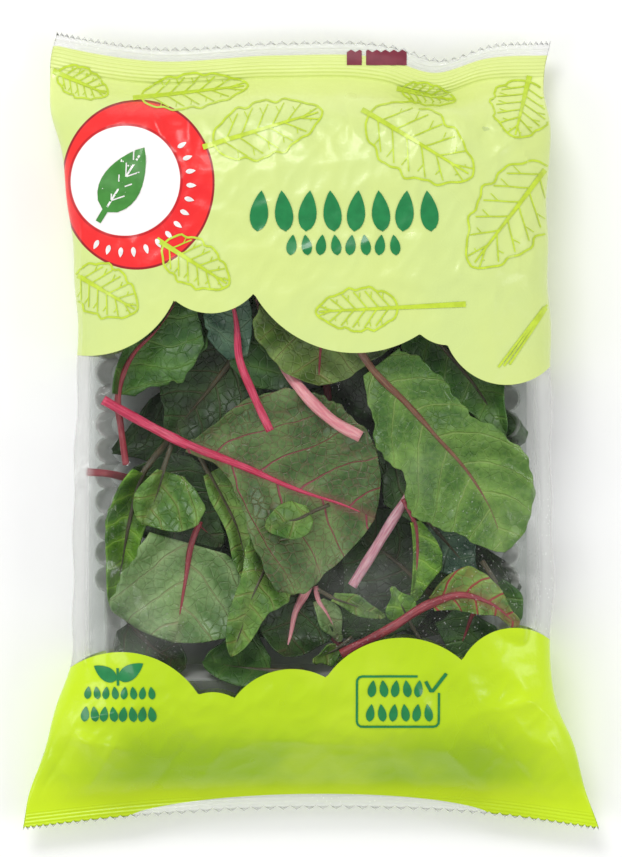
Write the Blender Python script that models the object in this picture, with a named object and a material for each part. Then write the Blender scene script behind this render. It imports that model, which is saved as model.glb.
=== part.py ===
"""Retail pack of loose young Swiss chard leaves.

A clear fluted tray holds about forty cut leaves, each a blade and its petiole grown as one piece.
A sealed pillow bag of thin film wraps the tray, flat at the back, with a crimped seal at each end.
The pack lies on its back: +X to the right, +Y towards the top seal, +Z out of the front.
Origin: bottom centre of the bounding box. The layout is in millimetres, the meshes in metres.
"""
import math
from dataclasses import dataclass

import bmesh
import bpy
import numpy as np

MM = 0.001

# ---- driving dimensions (mm) ----
FILM = 0.4               # film wall in this model; the real film is about 0.04
GAP = 0.35               # clearance kept between neighbouring solids
SEAL = 0.6               # thickness of a crimped end seal
TOP_SEAL_Y = (124.0, 137.5)
BOTTOM_SEAL_Y = (-132.0, -138.0)
VENT_RADIUS = 3.0
VENT_STATION_Y = 84.0
VENT_COLUMNS = (5, 11)

TRAY_CENTRE = (-0.8, 7.0)
TRAY_HALF = (77.3, 101.0)
TRAY_TOP = 30.0
TRAY_WALL = 0.6
FLANGE = 2.0
WALL_DRAFT = 4.4         # how far the foot of a wall stands inside its top
CORNER_RADIUS = 13.0
FLUTES = 14              # along each long side
FLUTE_PITCH = 9.15
FLUTE_DEPTH = 3.6
FLUTE_STEPS = 3

# The bag's outline and heights along its length, each a list of (y, value).
LEFT_EDGE = [(-138, -103), (-128, -100.5), (-117, -96), (-100, -90.5), (-81, -85.2), (-60, -84.5),
             (0, -83.2), (30, -82.8), (57, -83.4), (80, -85.6), (100, -88.8), (121, -93.4),
             (128, -93), (137.5, -90)]
RIGHT_EDGE = [(-138, 103), (-128, 100), (-113, 94.8), (-98, 88.5), (-85, 85.2), (-60, 86.3),
              (0, 85.8), (54, 84.8), (97, 84.8), (111, 85.4), (121, 83), (128, 83.4), (137.5, 86.3)]
FRONT_HEIGHT = [(-138, 10.3), (-132, 10.6), (-124, 18), (-115, 26), (-104, 33), (-92, 36.5),
                (-75, 39), (-40, 41), (20, 41.5), (70, 40), (96, 37), (107, 33.5), (112, 30),
                (118, 21), (122, 13), (124, 10.6), (137.5, 10.3)]
BACK_HEIGHT = [(-138, 9.7), (-132, 9.4), (-124, 4.5), (-115, 1.2), (-104, 0), (0, 0), (106, 0),
               (113, 0.6), (118, 3.6), (122, 7.6), (124, 9.4), (137.5, 9.7)]
# How far the two end edges bow away from straight, over s = -1 (left) to 1 (right).
TOP_EDGE_BOW = [(-1, 4.6), (-0.85, 2), (-0.6, -0.8), (-0.1, 1.2), (0.35, 0), (0.57, -5), (0.75, 0),
                (1, 1.3)]
BOTTOM_EDGE_BOW = [(-1, -4.1), (-0.6, 0.5), (0, 3.5), (0.6, 1.5), (1, -4.1)]
BAG_COLUMNS = 16

# ---- the leaves ----


@dataclass
class Leaf:
    """One leaf. The spine runs from the cut end of the petiole to the tip of the blade.

    stem is the number of spine points before the blade starts. left and right are the blade's
    half-widths, evenly spaced from its start to near its tip, looking from petiole to tip.
    """
    name: str
    spine: list
    stem: int
    left: list
    right: list
    stalk: float = 3.4       # diameter of the petiole
    level: float = 14.0      # lowest height that the leaf hangs at
    cup: float = 2.0         # height of the blade's margins above its midrib
    rows: int = 8


# Lower layers that fill the tray, from its floor up.
BED = [
    Leaf("bed_01", [(-60, 92), (-48, 78), (-36, 58), (-30, 38)], 1, [8, 20, 22, 12], [8, 20, 22, 12], 3, 4),
    Leaf("bed_02", [(4, 96), (6, 82), (8, 60), (6, 38)], 1, [8, 22, 24, 12], [8, 20, 24, 12], 3, 4),
    Leaf("bed_03", [(58, 90), (50, 74), (42, 54), (40, 36)], 1, [8, 18, 22, 12], [8, 20, 20, 12], 3, 4),
    Leaf("bed_04", [(-60, 30), (-48, 18), (-40, 0), (-38, -22)], 1, [8, 20, 24, 12], [8, 18, 22, 12], 3, 4),
    Leaf("bed_05", [(58, 34), (50, 18), (46, -2), (46, -24)], 1, [8, 20, 20, 12], [8, 20, 24, 12], 3, 4),
    Leaf("bed_06", [(2, 30), (6, 16), (6, -4), (2, -26)], 1, [8, 20, 24, 12], [8, 20, 24, 12], 3, 6),
    Leaf("bed_07", [(-56, -20), (-48, -34), (-42, -54), (-42, -74)], 1, [8, 20, 22, 12], [8, 16, 20, 12], 3, 6),
    Leaf("bed_08", [(52, -18), (46, -34), (42, -54), (40, -74)], 1, [8, 20, 22, 12], [8, 20, 22, 12], 3, 6),
    Leaf("bed_09", [(0, -22), (2, -36), (0, -56), (-2, -76)], 1, [8, 20, 24, 12], [8, 20, 24, 12], 3, 8),
    Leaf("bed_10", [(-58, 60), (-44, 66), (-24, 74), (-2, 78)], 1, [8, 20, 22, 12], [8, 20, 22, 12], 3, 12),
    Leaf("bed_11", [(62, 62), (48, 66), (30, 74), (10, 78)], 1, [8, 18, 20, 12], [8, 18, 22, 12], 3, 12),
    Leaf("bed_12", [(14, -80), (2, -66), (-12, -46), (-26, -28)], 1, [8, 20, 22, 12], [8, 20, 22, 12], 3, 12),
    Leaf("bed_13", [(62, -70), (46, -60), (30, -46), (14, -34)], 1, [8, 20, 22, 12], [8, 18, 22, 12], 3, 12),
    Leaf("bed_14", [(-10, 44), (8, 42), (28, 38), (50, 32)], 1, [8, 18, 22, 12], [8, 20, 24, 12], 3, 14),
]

# The leaves that show through the front of the bag, from the lowest to the topmost.
UPPER = [
    Leaf("bottom_left", [(-68, -60), (-64, -68), (-56, -77), (-44, -84)], 1,
         [4, 8, 9, 5], [4, 8, 9, 5], 2.5, 16, 2, 6),
    Leaf("bottom_mid", [(-2, -85), (-14, -85), (-26, -84), (-38, -82)], 1,
         [3, 4, 4, 3], [3, 9, 12, 6], 2.5, 16, 2, 6),
    Leaf("dark_mid", [(-17, 40), (-25, 29), (-34, 17), (-44, 5), (-50, -3)], 1,
         [4, 12, 15, 13, 7], [4, 12, 15, 13, 6], 3, 18),
    Leaf("stub_left", [(-79, -14.5), (-72, -15), (-64, -17), (-53, -22), (-41, -32), (-31, -41)], 2,
         [3, 9, 12, 10, 5], [3, 9, 11, 9, 4], 3, 20),
    Leaf("back_right", [(27, 56), (36, 44), (48, 29), (60, 14), (69, -2)], 1,
         [6, 13, 16, 13, 6], [6, 13, 14, 11, 6], 3, 24),
    Leaf("upper_left", [(-31, 64), (-37, 52), (-42, 40), (-48, 29), (-53, 20)], 1,
         [4, 7, 9, 9, 4], [3, 6, 7, 7, 4], 2.5, 24),
    Leaf("top_left", [(-65, -12), (-67, 1), (-68, 13), (-66, 21), (-62, 28), (-53, 37), (-47, 47), (-43, 55)], 2,
         [2, 3, 4, 4, 4, 3], [4, 9, 12, 12, 10, 5], 2.6, 24),
    Leaf("stem_pink", [(18, -2), (9, 3), (2, 9), (-5, 17), (-12, 28), (-17, 40), (-20, 50)], 3,
         [3, 9, 11, 10, 7], [3, 9, 10, 9, 6], 4.4, 24),
    Leaf("stub_pink", [(3, -45), (1, -51), (-2, -58), (-5, -64), (-7, -73), (-9, -80)], 2,
         [4, 6, 9, 10, 6], [4, 8, 9, 9, 6], 3.6, 20),
    Leaf("low_mid", [(2, -55), (3, -60), (6, -65), (8, -69), (11, -75)], 1,
         [2, 4, 5, 4, 2], [2, 3, 4, 4, 2], 2, 18, 1, 6),
    Leaf("blue_dark", [(38, -27), (43, -33), (48, -39), (54, -46), (59, -52)], 1,
         [4, 7, 9, 8, 4], [4, 8, 10, 9, 5], 2, 20, 1, 6),
    Leaf("right_lobe", [(61, -46), (66, -54), (70, -61), (74, -68)], 1,
         [3, 5, 6, 4], [2, 4, 5, 3], 2, 20, 1, 6),
    Leaf("low_right", [(62, -59), (58, -65), (55, -73), (52, -80)], 1,
         [6, 8, 9, 5], [4, 6, 8, 5], 2, 20, 1, 6),
    Leaf("stem_right", [(15, -55), (23, -42), (31, -29), (39, -17), (48, -5), (55, 4)], 2,
         [4, 8, 10, 9, 6], [4, 9, 10, 9, 6], 4, 24),
    Leaf("narrow_fold", [(33, -24), (37, -32), (38, -40), (38, -50), (37, -61)], 1,
         [2, 6, 9, 8, 4], [1, 1.5, 1.5, 1.5, 1], 2, 22, 1, 6),
    Leaf("left_roll", [(-50, -3), (-59, -15), (-64, -32), (-67, -48), (-70, -63)], 1,
         [4, 7, 6, 5, 3], [4, 7, 8, 6, 4], 2.5, 24),
    Leaf("lower_left", [(-39, -32), (-42, -40), (-44, -52), (-46, -64), (-48, -75)], 1,
         [11, 18, 21, 20, 16], [13, 18, 21, 22, 18], 2.5, 23, 1.5),
    Leaf("left_fold", [(-48, -2), (-52, -14), (-55, -24), (-59, -33)], 1,
         [6, 13, 16, 14], [1, 2, 4, 3], 2, 24),
    Leaf("mid_fold", [(-40, -7), (-36, -15), (-31, -24), (-26, -34), (-23, -47), (-20, -61)], 1,
         [9, 13, 12, 7, 5, 3], [1, 1, 1, 2, 2, 1], 2, 24),
    Leaf("diagonal", [(-5, -24), (-10, -32), (-15, -46), (-21, -60), (-25, -72), (-28, -80)], 1,
         [6, 11, 12, 11, 6, 4], [5, 7, 5, 3, 4, 4], 2.5, 25),
    Leaf("stem_thin", [(-14, 0), (-20, 13), (-25, 26), (-26, 38), (-29, 52), (-31, 60)], 2,
         [4, 10, 11, 9, 6], [2, 3, 4, 5, 4], 3, 25),
    Leaf("centre", [(-73, 11), (-57, 2), (-43, -5), (-25, -12), (-4, -21), (14, -27), (23, -31)], 2,
         [1, 25, 33, 33, 27, 22], [1, 3, 13, 25, 33, 28], 3.8, 27, 1, 11),
    Leaf("small_round", [(7, -26), (0, -29), (-4, -31), (-9, -32), (-16, -34)], 1,
         [2, 4, 5, 4, 3], [2, 4, 5, 4, 3], 1.6, 27, 1, 6),
    Leaf("top_mid", [(13, 74), (10, 62), (7, 47), (4, 31), (3, 16)], 1,
         [5, 15, 23, 25, 18], [5, 14, 21, 25, 18], 3.6, 28),
    Leaf("pale_strip", [(3, -56), (8, -59), (14, -61), (21, -64), (27, -66)], 1,
         [2, 3, 4, 3, 2], [1, 2, 3, 3, 2], 1.5, 24, 0.5, 6),
    Leaf("bright_tip", [(39, -74), (35, -67), (32, -61), (29, -55)], 1,
         [3, 6, 6, 2], [3, 5, 5, 2], 1.5, 24, 1, 6),
    Leaf("low_tip", [(15, -73), (10, -77), (6, -79), (1, -82)], 1,
         [2, 4, 5, 2], [2, 3, 2, 1], 1.5, 24, 0.5, 6),
    Leaf("lower_right", [(11, -79), (28, -70), (43, -61), (54, -58), (64, -61), (74, -69)], 2,
         [2, 7, 10, 7, 3], [3, 5, 6, 5, 2], 3.6, 27, 1),
    Leaf("right_top", [(15, 33), (22, 22), (34, 10), (45, -2), (57, -16), (65, -30), (69, -43)], 1,
         [12, 15, 15, 14, 18, 20, 14], [4, 12, 19, 18, 25, 22, 14], 3, 29, 1, 11),
]

# Across a leaf: margin, mid-blade and edge of the midrib on each side, and the midrib's centre.
ACROSS = np.array([-1.0, -0.55, -0.2, 0.0, 0.2, 0.55, 1.0])
MIDRIB_HALF = 1.6
BLADE = 0.6              # thickness of the blade
MIDRIB_RISE = 0.9

# ---- helpers for curves and height maps ----


def curve(keys, at):
    """Smooth curve through (position, value) keys, with finite-difference slopes."""
    x = np.array([k[0] for k in keys], float)
    y = np.array([k[1] for k in keys], float)
    slope = np.gradient(y, x)
    at = np.clip(np.asarray(at, float), x[0], x[-1])
    i = np.clip(np.searchsorted(x, at, side="right") - 1, 0, len(x) - 2)
    width = x[i + 1] - x[i]
    t = (at - x[i]) / width
    rise = t * t * (3 - 2 * t)
    start = t * (1 - t) ** 2 * width
    end = t * t * (t - 1) * width
    return y[i] + (y[i + 1] - y[i]) * rise + slope[i] * start + slope[i + 1] * end


def smoothstep(low, high, value):
    t = np.clip((np.asarray(value, float) - low) / (high - low), 0, 1)
    return t * t * (3 - 2 * t)


class HeightMap:
    """Top surface of everything laid so far, on a half-millimetre grid."""
    STEP, X0, Y0, NX, NY = 0.5, -100, -104, 401, 465

    def __init__(self):
        x = np.arange(self.NX) * self.STEP + self.X0
        y = np.arange(self.NY) * self.STEP + self.Y0
        self.height = tray_surface(*np.meshgrid(x, y))

    def spread(self, reach, blur, height=None):
        """The highest value within reach (in mm), then smoothed."""
        out = self.height if height is None else height
        for axis in (0, 1):
            cells = round(reach / self.STEP)
            shifts = [np.roll(out, k, axis) for k in range(-cells, cells + 1)]
            out = np.max(shifts, axis=0)
        for _ in range(blur):
            for axis in (0, 1):
                out = (np.roll(out, 2, axis) + out * 2 + np.roll(out, -2, axis)) / 4
        return out

    def sample(self, grid, x, y):
        fx = np.clip((np.asarray(x) - self.X0) / self.STEP, 0, self.NX - 1.001)
        fy = np.clip((np.asarray(y) - self.Y0) / self.STEP, 0, self.NY - 1.001)
        ix, iy = fx.astype(int), fy.astype(int)
        tx, ty = fx - ix, fy - iy
        low = grid[iy, ix] * (1 - tx) + grid[iy, ix + 1] * tx
        high = grid[iy + 1, ix] * (1 - tx) + grid[iy + 1, ix + 1] * tx
        return low * (1 - ty) + high * ty

    def cells(self, tri):
        """Cells under a triangle: their indices and the triangle's height at each."""
        tri = (tri - (self.X0, self.Y0, 0)) / (self.STEP, self.STEP, 1)
        a, b, c = tri
        x0, x1 = int(np.floor(tri[:, 0].min())), int(np.ceil(tri[:, 0].max()))
        y0, y1 = int(np.floor(tri[:, 1].min())), int(np.ceil(tri[:, 1].max()))
        gx, gy = np.meshgrid(np.arange(x0, x1 + 1), np.arange(y0, y1 + 1))
        area = (b[0] - a[0]) * (c[1] - a[1]) - (b[1] - a[1]) * (c[0] - a[0])
        if abs(area) < 1e-6:
            return gy[:0, 0], gx[:0, 0], np.zeros(0)
        v = ((gx - a[0]) * (c[1] - a[1]) - (gy - a[1]) * (c[0] - a[0])) / area
        w = ((b[0] - a[0]) * (gy - a[1]) - (b[1] - a[1]) * (gx - a[0])) / area
        inside = (v >= -0.1) & (w >= -0.1) & (v + w <= 1.1)
        inside &= (gx > 0) & (gx < self.NX - 1) & (gy > 0) & (gy < self.NY - 1)
        z = a[2] + v * (b[2] - a[2]) + w * (c[2] - a[2])
        return gy[inside], gx[inside], z[inside]


def tray_surface(x, y):
    """Height of the tray's upper face, with the flutes left out so that leaves clear them."""
    straight = (TRAY_HALF[0] - FLANGE - FLUTE_DEPTH, TRAY_HALF[1] - FLANGE - FLUTE_DEPTH)
    px = np.abs(x - TRAY_CENTRE[0]) - (straight[0] - CORNER_RADIUS)
    py = np.abs(y - TRAY_CENTRE[1]) - (straight[1] - CORNER_RADIUS)
    outside = np.hypot(np.maximum(px, 0), np.maximum(py, 0)) + np.minimum(np.maximum(px, py), 0)
    inset = CORNER_RADIUS - outside
    floor = FILM + GAP + TRAY_WALL
    up = 1 - np.clip(inset / (WALL_DRAFT + 1.0), 0, 1)
    return floor + (TRAY_TOP + 0.2 - floor) * up


# ---- meshes ----


def make_object(name, vertices, faces, colour, roughness, alpha=1.0):
    mesh = bpy.data.meshes.new(name)
    mesh.from_pydata((np.asarray(vertices) * MM).tolist(), [], faces)
    bm = bmesh.new()
    bm.from_mesh(mesh)
    bmesh.ops.triangulate(bm, faces=bm.faces[:])
    bmesh.ops.recalc_face_normals(bm, faces=bm.faces[:])
    bm.to_mesh(mesh)
    bm.free()
    mesh.shade_smooth()
    mesh.set_sharp_from_angle(angle=math.radians(50))
    material = bpy.data.materials.new(name)
    material.use_nodes = True
    shader = material.node_tree.nodes["Principled BSDF"]
    shader.inputs["Base Color"].default_value = (*colour, 1)
    shader.inputs["Roughness"].default_value = roughness
    shader.inputs["Alpha"].default_value = alpha
    mesh.materials.append(material)
    obj = bpy.data.objects.new(name, mesh)
    bpy.context.scene.collection.objects.link(obj)
    return obj


def leaf_layout(leaf):
    """Plan positions of the leaf's grid, its half-widths and where along it the blade starts."""
    spine = np.array(leaf.spine, float)
    steps = np.hypot(*np.diff(spine, axis=0).T)
    along = np.concatenate([[0], np.cumsum(steps)])
    start = along[leaf.stem]
    stem_rows = max(1, leaf.stem)
    stops = np.concatenate([np.linspace(0, start, stem_rows, endpoint=False),
                            np.linspace(start, along[-1], leaf.rows)])
    x = curve(list(zip(along, spine[:, 0])), stops)
    y = curve(list(zip(along, spine[:, 1])), stops)
    tangent = np.stack([np.gradient(x, stops), np.gradient(y, stops)], 1)
    tangent /= np.linalg.norm(tangent, axis=1)[:, None]
    side = np.stack([-tangent[:, 1], tangent[:, 0]], 1)
    u = np.clip((stops - start) / (along[-1] - start), 0, 1)
    stalk = leaf.stalk / 2
    widths = []
    for values in (leaf.left, leaf.right):
        keys = [(k / len(values), v) for k, v in enumerate(values)] + [(1.0, values[-1] * 0.35)]
        blade = curve(keys, u)
        widths.append(np.where(stops < start - 1e-6, stalk, np.maximum(blade, stalk + 0.6)))
    return x, y, side, widths, u, stops < start - 1e-6


def leaf_grid(leaf):
    x, y, side, (left, right), u, is_stem = leaf_layout(leaf)
    rows, cols = len(x), len(ACROSS)
    offset = np.zeros((rows, cols))
    for j, f in enumerate(ACROSS):
        width = left if f > 0 else right
        blade = f * width
        if abs(f) < 0.3:
            blade = np.sign(f) * np.minimum(MIDRIB_HALF, 0.4 * width)
        offset[:, j] = np.where(is_stem, f * leaf.stalk / 2, blade)
    plan_x = x[:, None] + side[:, 0:1] * offset
    plan_y = y[:, None] + side[:, 1:2] * offset
    rise = np.where(np.abs(ACROSS) < 0.3, 1 - np.abs(ACROSS) / 0.3, 0)[None, :]
    taper = (1 - 0.75 * u)[:, None]
    thick = BLADE + MIDRIB_RISE * rise * taper
    round_stem = leaf.stalk * np.sqrt(np.maximum(0.06, 1 - np.abs(ACROSS)[None, :] ** 2))
    thick = np.where(is_stem[:, None], round_stem, thick)
    join = np.exp(-((u * 7) ** 2))[:, None]
    thick = np.where(is_stem[:, None], thick, thick + join * rise * leaf.stalk * 0.55)
    cup = leaf.cup * np.where(is_stem[:, None], 0, np.abs(ACROSS)[None, :] ** 1.5)
    wave = 0.8 * np.sin(9.0 * u[:, None] + 2.1 * ACROSS[None, :] + len(leaf.name))
    wave = np.where(is_stem[:, None], 0, (wave + 0.8) * np.abs(ACROSS)[None, :])
    return plan_x, plan_y, thick, cup + wave


def grid_triangles(rows, cols):
    out = []
    for i in range(rows - 1):
        for j in range(cols - 1):
            a, b = i * cols + j, i * cols + j + 1
            c, d = a + cols, b + cols
            out += [(a, b, d), (a, d, c)]
    return out


def drape(leaf, heap):
    """Lay a leaf on the heap, lift it clear of what it covers and add it to the heap."""
    px, py, thick, shape = leaf_grid(leaf)
    rows, cols = px.shape
    support = heap.spread(4, 5)
    bottom = np.maximum(heap.sample(support, px, py), leaf.level) + GAP + shape
    triangles = grid_triangles(rows, cols)
    flat = np.stack([px.ravel(), py.ravel(), bottom.ravel()], 1)
    for _ in range(8):
        lift = np.zeros(len(flat))
        for tri in triangles:
            iy, ix, z = heap.cells(flat[list(tri)])
            if len(z):
                short = (heap.height[iy, ix] + GAP - z).max()
                if short > 0:
                    lift[list(tri)] = np.maximum(lift[list(tri)], short + 0.02)
        if lift.max() <= 0:
            break
        flat[:, 2] += lift
    top = flat.copy()
    top[:, 2] += thick.ravel()
    cover = np.full_like(heap.height, -1.0)
    for tri in triangles:
        iy, ix, z = heap.cells(top[list(tri)])
        cover[iy, ix] = np.maximum(cover[iy, ix], z)
    heap.height = np.maximum(heap.height, heap.spread(1, 0, cover))
    return flat, top, rows, cols


def leaf_mesh(leaf, heap, colour):
    bottom, top, rows, cols = drape(leaf, heap)
    count = rows * cols
    faces = []
    for a, b, c in grid_triangles(rows, cols):
        faces.append((a, c, b))
        faces.append((a + count, b + count, c + count))
    rim = [j for j in range(cols)]
    rim += [i * cols + cols - 1 for i in range(1, rows)]
    rim += [(rows - 1) * cols + j for j in range(cols - 2, -1, -1)]
    rim += [i * cols for i in range(rows - 2, 0, -1)]
    for a, b in zip(rim, rim[1:] + rim[:1]):
        faces.append((a, b, b + count, a + count))
    make_object("leaf_" + leaf.name, np.vstack([bottom, top]), faces, colour, 0.45)


def tray_contour():
    """Outline of the fluted wall, as (base point, outward normal, flute bulge), counterclockwise."""
    half = (TRAY_HALF[0] - FLANGE - FLUTE_DEPTH, TRAY_HALF[1] - FLANGE - FLUTE_DEPTH)
    run = FLUTES * FLUTE_PITCH / 2
    points = []
    for turn, (sx, sy) in zip((0, 90, 180, 270), ((1, 1), (-1, 1), (-1, -1), (1, -1))):
        if turn in (0, 180):
            side = 1 if turn == 0 else -1
            for k in range(FLUTES * FLUTE_STEPS + 1):
                t = (k % FLUTE_STEPS) / FLUTE_STEPS
                bulge = FLUTE_DEPTH * math.sin(math.pi * t) ** 0.7 if t else 0.0
                y = side * (-run + k * FLUTE_PITCH / FLUTE_STEPS)
                points.append(((side * half[0], y), (side, 0), bulge))
        for k in range(6):
            angle = math.radians(turn + 18 * k)
            nx, ny = math.cos(angle), math.sin(angle)
            centre = (sx * (half[0] - CORNER_RADIUS), sy * (half[1] - CORNER_RADIUS))
            base = (centre[0] + nx * CORNER_RADIUS, centre[1] + ny * CORNER_RADIUS)
            points.append((base, (nx, ny), 0.0))
    return points


def tray_mesh():
    contour = tray_contour()
    floor = FILM + GAP
    # (inset from the wall's top, height, share of the flute bulge, or the flange's plain edge)
    profile = [(-FLANGE - FLUTE_DEPTH, TRAY_TOP, 0), (-0.2, TRAY_TOP, 1), (0.0, TRAY_TOP - 0.8, 1),
               (WALL_DRAFT, floor + 2.4, 1), (WALL_DRAFT + 2.0, floor + TRAY_WALL, 0.4)]
    vertices, faces = [], []
    count = len(contour)
    for skin in (0, 1):
        for row, (inset, z, share) in enumerate(profile):
            for (bx, by), (nx, ny), bulge in contour:
                out = -inset + share * bulge
                if skin and row > 1:
                    out += TRAY_WALL * 0.9
                drop = TRAY_WALL * skin if row in (0, 1, 4) else TRAY_WALL * 0.8 * skin
                vertices.append((TRAY_CENTRE[0] + bx + nx * out, TRAY_CENTRE[1] + by + ny * out, z - drop))
    size = count * len(profile)
    for skin in (0, 1):
        for row in range(len(profile) - 1):
            for k in range(count):
                a = skin * size + row * count + k
                b = skin * size + row * count + (k + 1) % count
                faces.append((a, b, b + count, a + count))
        faces.append(tuple(skin * size + (len(profile) - 1) * count + k for k in range(count)))
    for k in range(count):
        b = (k + 1) % count
        faces.append((k, b, b + size, k + size))
    make_object("tray", vertices, faces, (0.8, 0.8, 0.8), 0.1, 0.3)


def bag_stations():
    ends = [BOTTOM_SEAL_Y[1], BOTTOM_SEAL_Y[0], -128, -123, -117, -110, -103, -97]
    body = list(np.linspace(-90, 102, 16))
    return np.array(ends + body + [107, 110.5, 114, 118, 122, *TOP_SEAL_Y])


def bag_surfaces(heap):
    """Outer front and back of the bag, as grids of points with the sides shared."""
    y = bag_stations()
    s = np.sin(np.linspace(-math.pi / 2, math.pi / 2, BAG_COLUMNS + 1))
    left, right = curve(LEFT_EDGE, y), curve(RIGHT_EDGE, y)
    top, back = curve(FRONT_HEIGHT, y), np.maximum(0, curve(BACK_HEIGHT, y))
    grid_x = (left + right)[:, None] / 2 + (right - left)[:, None] / 2 * s
    bow = smoothstep(112, 124, y)[:, None] * curve(TOP_EDGE_BOW, s)[None, :]
    bow = bow + (1 - smoothstep(-132, -104, y))[:, None] * curve(BOTTOM_EDGE_BOW, s)[None, :]
    grid_y = y[:, None] + bow
    full = smoothstep(1, 30, top - back)[:, None]
    middle = (top + back)[:, None] / 2 * (1 - full) + (back + 0.58 * (top - back))[:, None] * full
    power = 2.4 + 1.6 * full
    dome = np.sqrt(np.maximum(0, 1 - np.abs(s)[None, :] ** power))
    front = middle + (top[:, None] - middle) * dome
    sag = np.sqrt(np.maximum(0, 1 - np.abs(s)[None, :] ** (power + 2.5))) * (1 + 0.5 * full)
    rear = middle - (middle - back[:, None]) * np.minimum(1, sag)
    clear = heap.spread(7, 3) + GAP + FILM * 2
    need = heap.sample(clear, grid_x, grid_y)
    over_tray = np.abs(grid_y - TRAY_CENTRE[1]) < TRAY_HALF[1] + 5
    over_tray &= np.abs(s)[None, :] < 1
    front = np.where(over_tray, np.maximum(front, need), front)
    return grid_x, grid_y, front, rear, s


def inward(grid_x, front, rear):
    """The inner faces: the section of each station set in by the film's thickness."""
    centre = grid_x.mean(axis=1)[:, None]
    inner_x = grid_x - np.clip(grid_x - centre, -1, 1) * FILM
    slim = np.minimum(FILM * 1.2, (front - rear) * 0.3)
    return inner_x, front - slim, rear + slim


def bag_mesh(heap):
    gx, gy, front, rear, _ = bag_surfaces(heap)
    rows, cols = gx.shape
    vent_row = int(np.argmin(np.abs(bag_stations() - VENT_STATION_Y)))
    ix, inner_front, inner_rear = inward(gx, front, rear)
    outer = [np.stack([gx, gy, front], 2), np.stack([gx, gy, rear], 2)]
    inner = [np.stack([ix, gy, inner_front], 2), np.stack([ix, gy, inner_rear], 2)]
    for column in VENT_COLUMNS:
        centre = outer[1][vent_row, column].copy()
        for k, (di, dj) in enumerate(VENT_RING):
            angle = math.radians(-135 + 45 * k)
            spot = centre[:2] + VENT_RADIUS * np.array([math.cos(angle), math.sin(angle)])
            for skin in (outer[1], inner[1]):
                skin[vent_row + di, column + dj, :2] = spot
    vertices, faces, index = [], [], {}

    def vertex(layer, side, i, j):
        if layer == 0 and j in (0, cols - 1):
            side = 0
        key = (layer, side, i, j)
        if key not in index:
            index[key] = len(vertices)
            vertices.append((outer, inner)[layer][side][i, j])
        return index[key]

    def hole(i, j):
        return any(i in (vent_row - 1, vent_row) and j in (c - 1, c) for c in VENT_COLUMNS)

    first, last = 1, rows - 2
    for layer, (start, stop) in enumerate(((0, rows - 1), (first, last))):
        for side in (0, 1):
            for i in range(start, stop):
                for j in range(cols - 1):
                    if side == 1 and hole(i, j):
                        continue
                    corners = ((i, j), (i, j + 1), (i + 1, j + 1), (i + 1, j))
                    face = [vertex(layer, side, a, b) for a, b in corners]
                    face = [v for n, v in enumerate(face) if v not in face[:n]]
                    faces.append(face)
        for i in (start, stop):
            for j in range(cols - 1):
                face = [vertex(layer, 0, i, j), vertex(layer, 0, i, j + 1),
                        vertex(layer, 1, i, j + 1), vertex(layer, 1, i, j)]
                faces.append([v for n, v in enumerate(face) if v not in face[:n]])
    for i in range(first, last):
        for j in (0, cols - 1):
            faces.append([vertex(1, 0, i, j), vertex(1, 0, i + 1, j),
                          vertex(1, 1, i + 1, j), vertex(1, 1, i, j)])
    for column in VENT_COLUMNS:
        ring = [(vent_row + di, column + dj) for di, dj in VENT_RING]
        for a, b in zip(ring, ring[1:] + ring[:1]):
            faces.append([vertex(0, 1, *a), vertex(0, 1, *b), vertex(1, 1, *b), vertex(1, 1, *a)])
    make_object("film_bag", vertices, faces, (0.55, 0.75, 0.2), 0.2, 0.4)


# The eight grid neighbours around a vent's centre, as (station, column) steps.
VENT_RING = [(-1, -1), (-1, 0), (-1, 1), (0, 1), (1, 1), (1, 0), (1, -1), (0, -1)]
GREEN = (0.10, 0.18, 0.05)
DARK_GREEN = (0.03, 0.06, 0.02)


def main():
    for obj in list(bpy.data.objects):
        bpy.data.objects.remove(obj, do_unlink=True)
    heap = HeightMap()
    tray_mesh()
    for leaf in BED:
        leaf.rows = 6
        leaf_mesh(leaf, heap, DARK_GREEN)
    for leaf in UPPER:
        leaf_mesh(leaf, heap, GREEN)
    bag_mesh(heap)


main()
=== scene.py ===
# %% [markdown]
# # A bag of young chard leaves
# This lesson finishes a retail pack: loose chard leaves in a clear fluted tray, sealed in a printed
# film bag. The pack lies on its back, so the camera looks straight down at its front. Every piece of
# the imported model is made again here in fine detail. Outlines and sizes are written out below, and
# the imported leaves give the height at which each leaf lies.
# %% Load the frame
import math
from dataclasses import dataclass

import bpy
import numpy as np
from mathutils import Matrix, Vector
from mathutils.bvhtree import BVHTree


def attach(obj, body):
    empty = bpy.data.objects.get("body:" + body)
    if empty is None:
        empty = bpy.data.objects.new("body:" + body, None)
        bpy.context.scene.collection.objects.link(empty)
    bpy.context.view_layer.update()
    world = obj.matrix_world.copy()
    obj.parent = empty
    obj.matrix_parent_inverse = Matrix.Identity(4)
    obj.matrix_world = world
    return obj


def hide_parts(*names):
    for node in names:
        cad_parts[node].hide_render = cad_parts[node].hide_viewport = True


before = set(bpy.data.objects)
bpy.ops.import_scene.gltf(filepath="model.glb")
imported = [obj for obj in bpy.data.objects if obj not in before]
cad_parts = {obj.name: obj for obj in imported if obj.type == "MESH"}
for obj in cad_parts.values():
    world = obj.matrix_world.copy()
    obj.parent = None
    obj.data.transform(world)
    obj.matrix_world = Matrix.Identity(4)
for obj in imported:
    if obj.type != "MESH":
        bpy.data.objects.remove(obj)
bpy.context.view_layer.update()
MM = 0.001
print("nodes in the frame:", len(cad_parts))

# %% [markdown]
# ## Curves and grids
# Two helpers do most of the shaping. The first is a smooth curve through a few keys, for outlines
# and widths. The second adds a grid primitive and moves its vertices onto a computed surface. A
# grid is the natural start for anything that is a sheet in real life: a leaf, a film or a tray wall.
# With wrap, the grid's first and last columns meet and are merged, which turns it into a tube.


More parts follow.
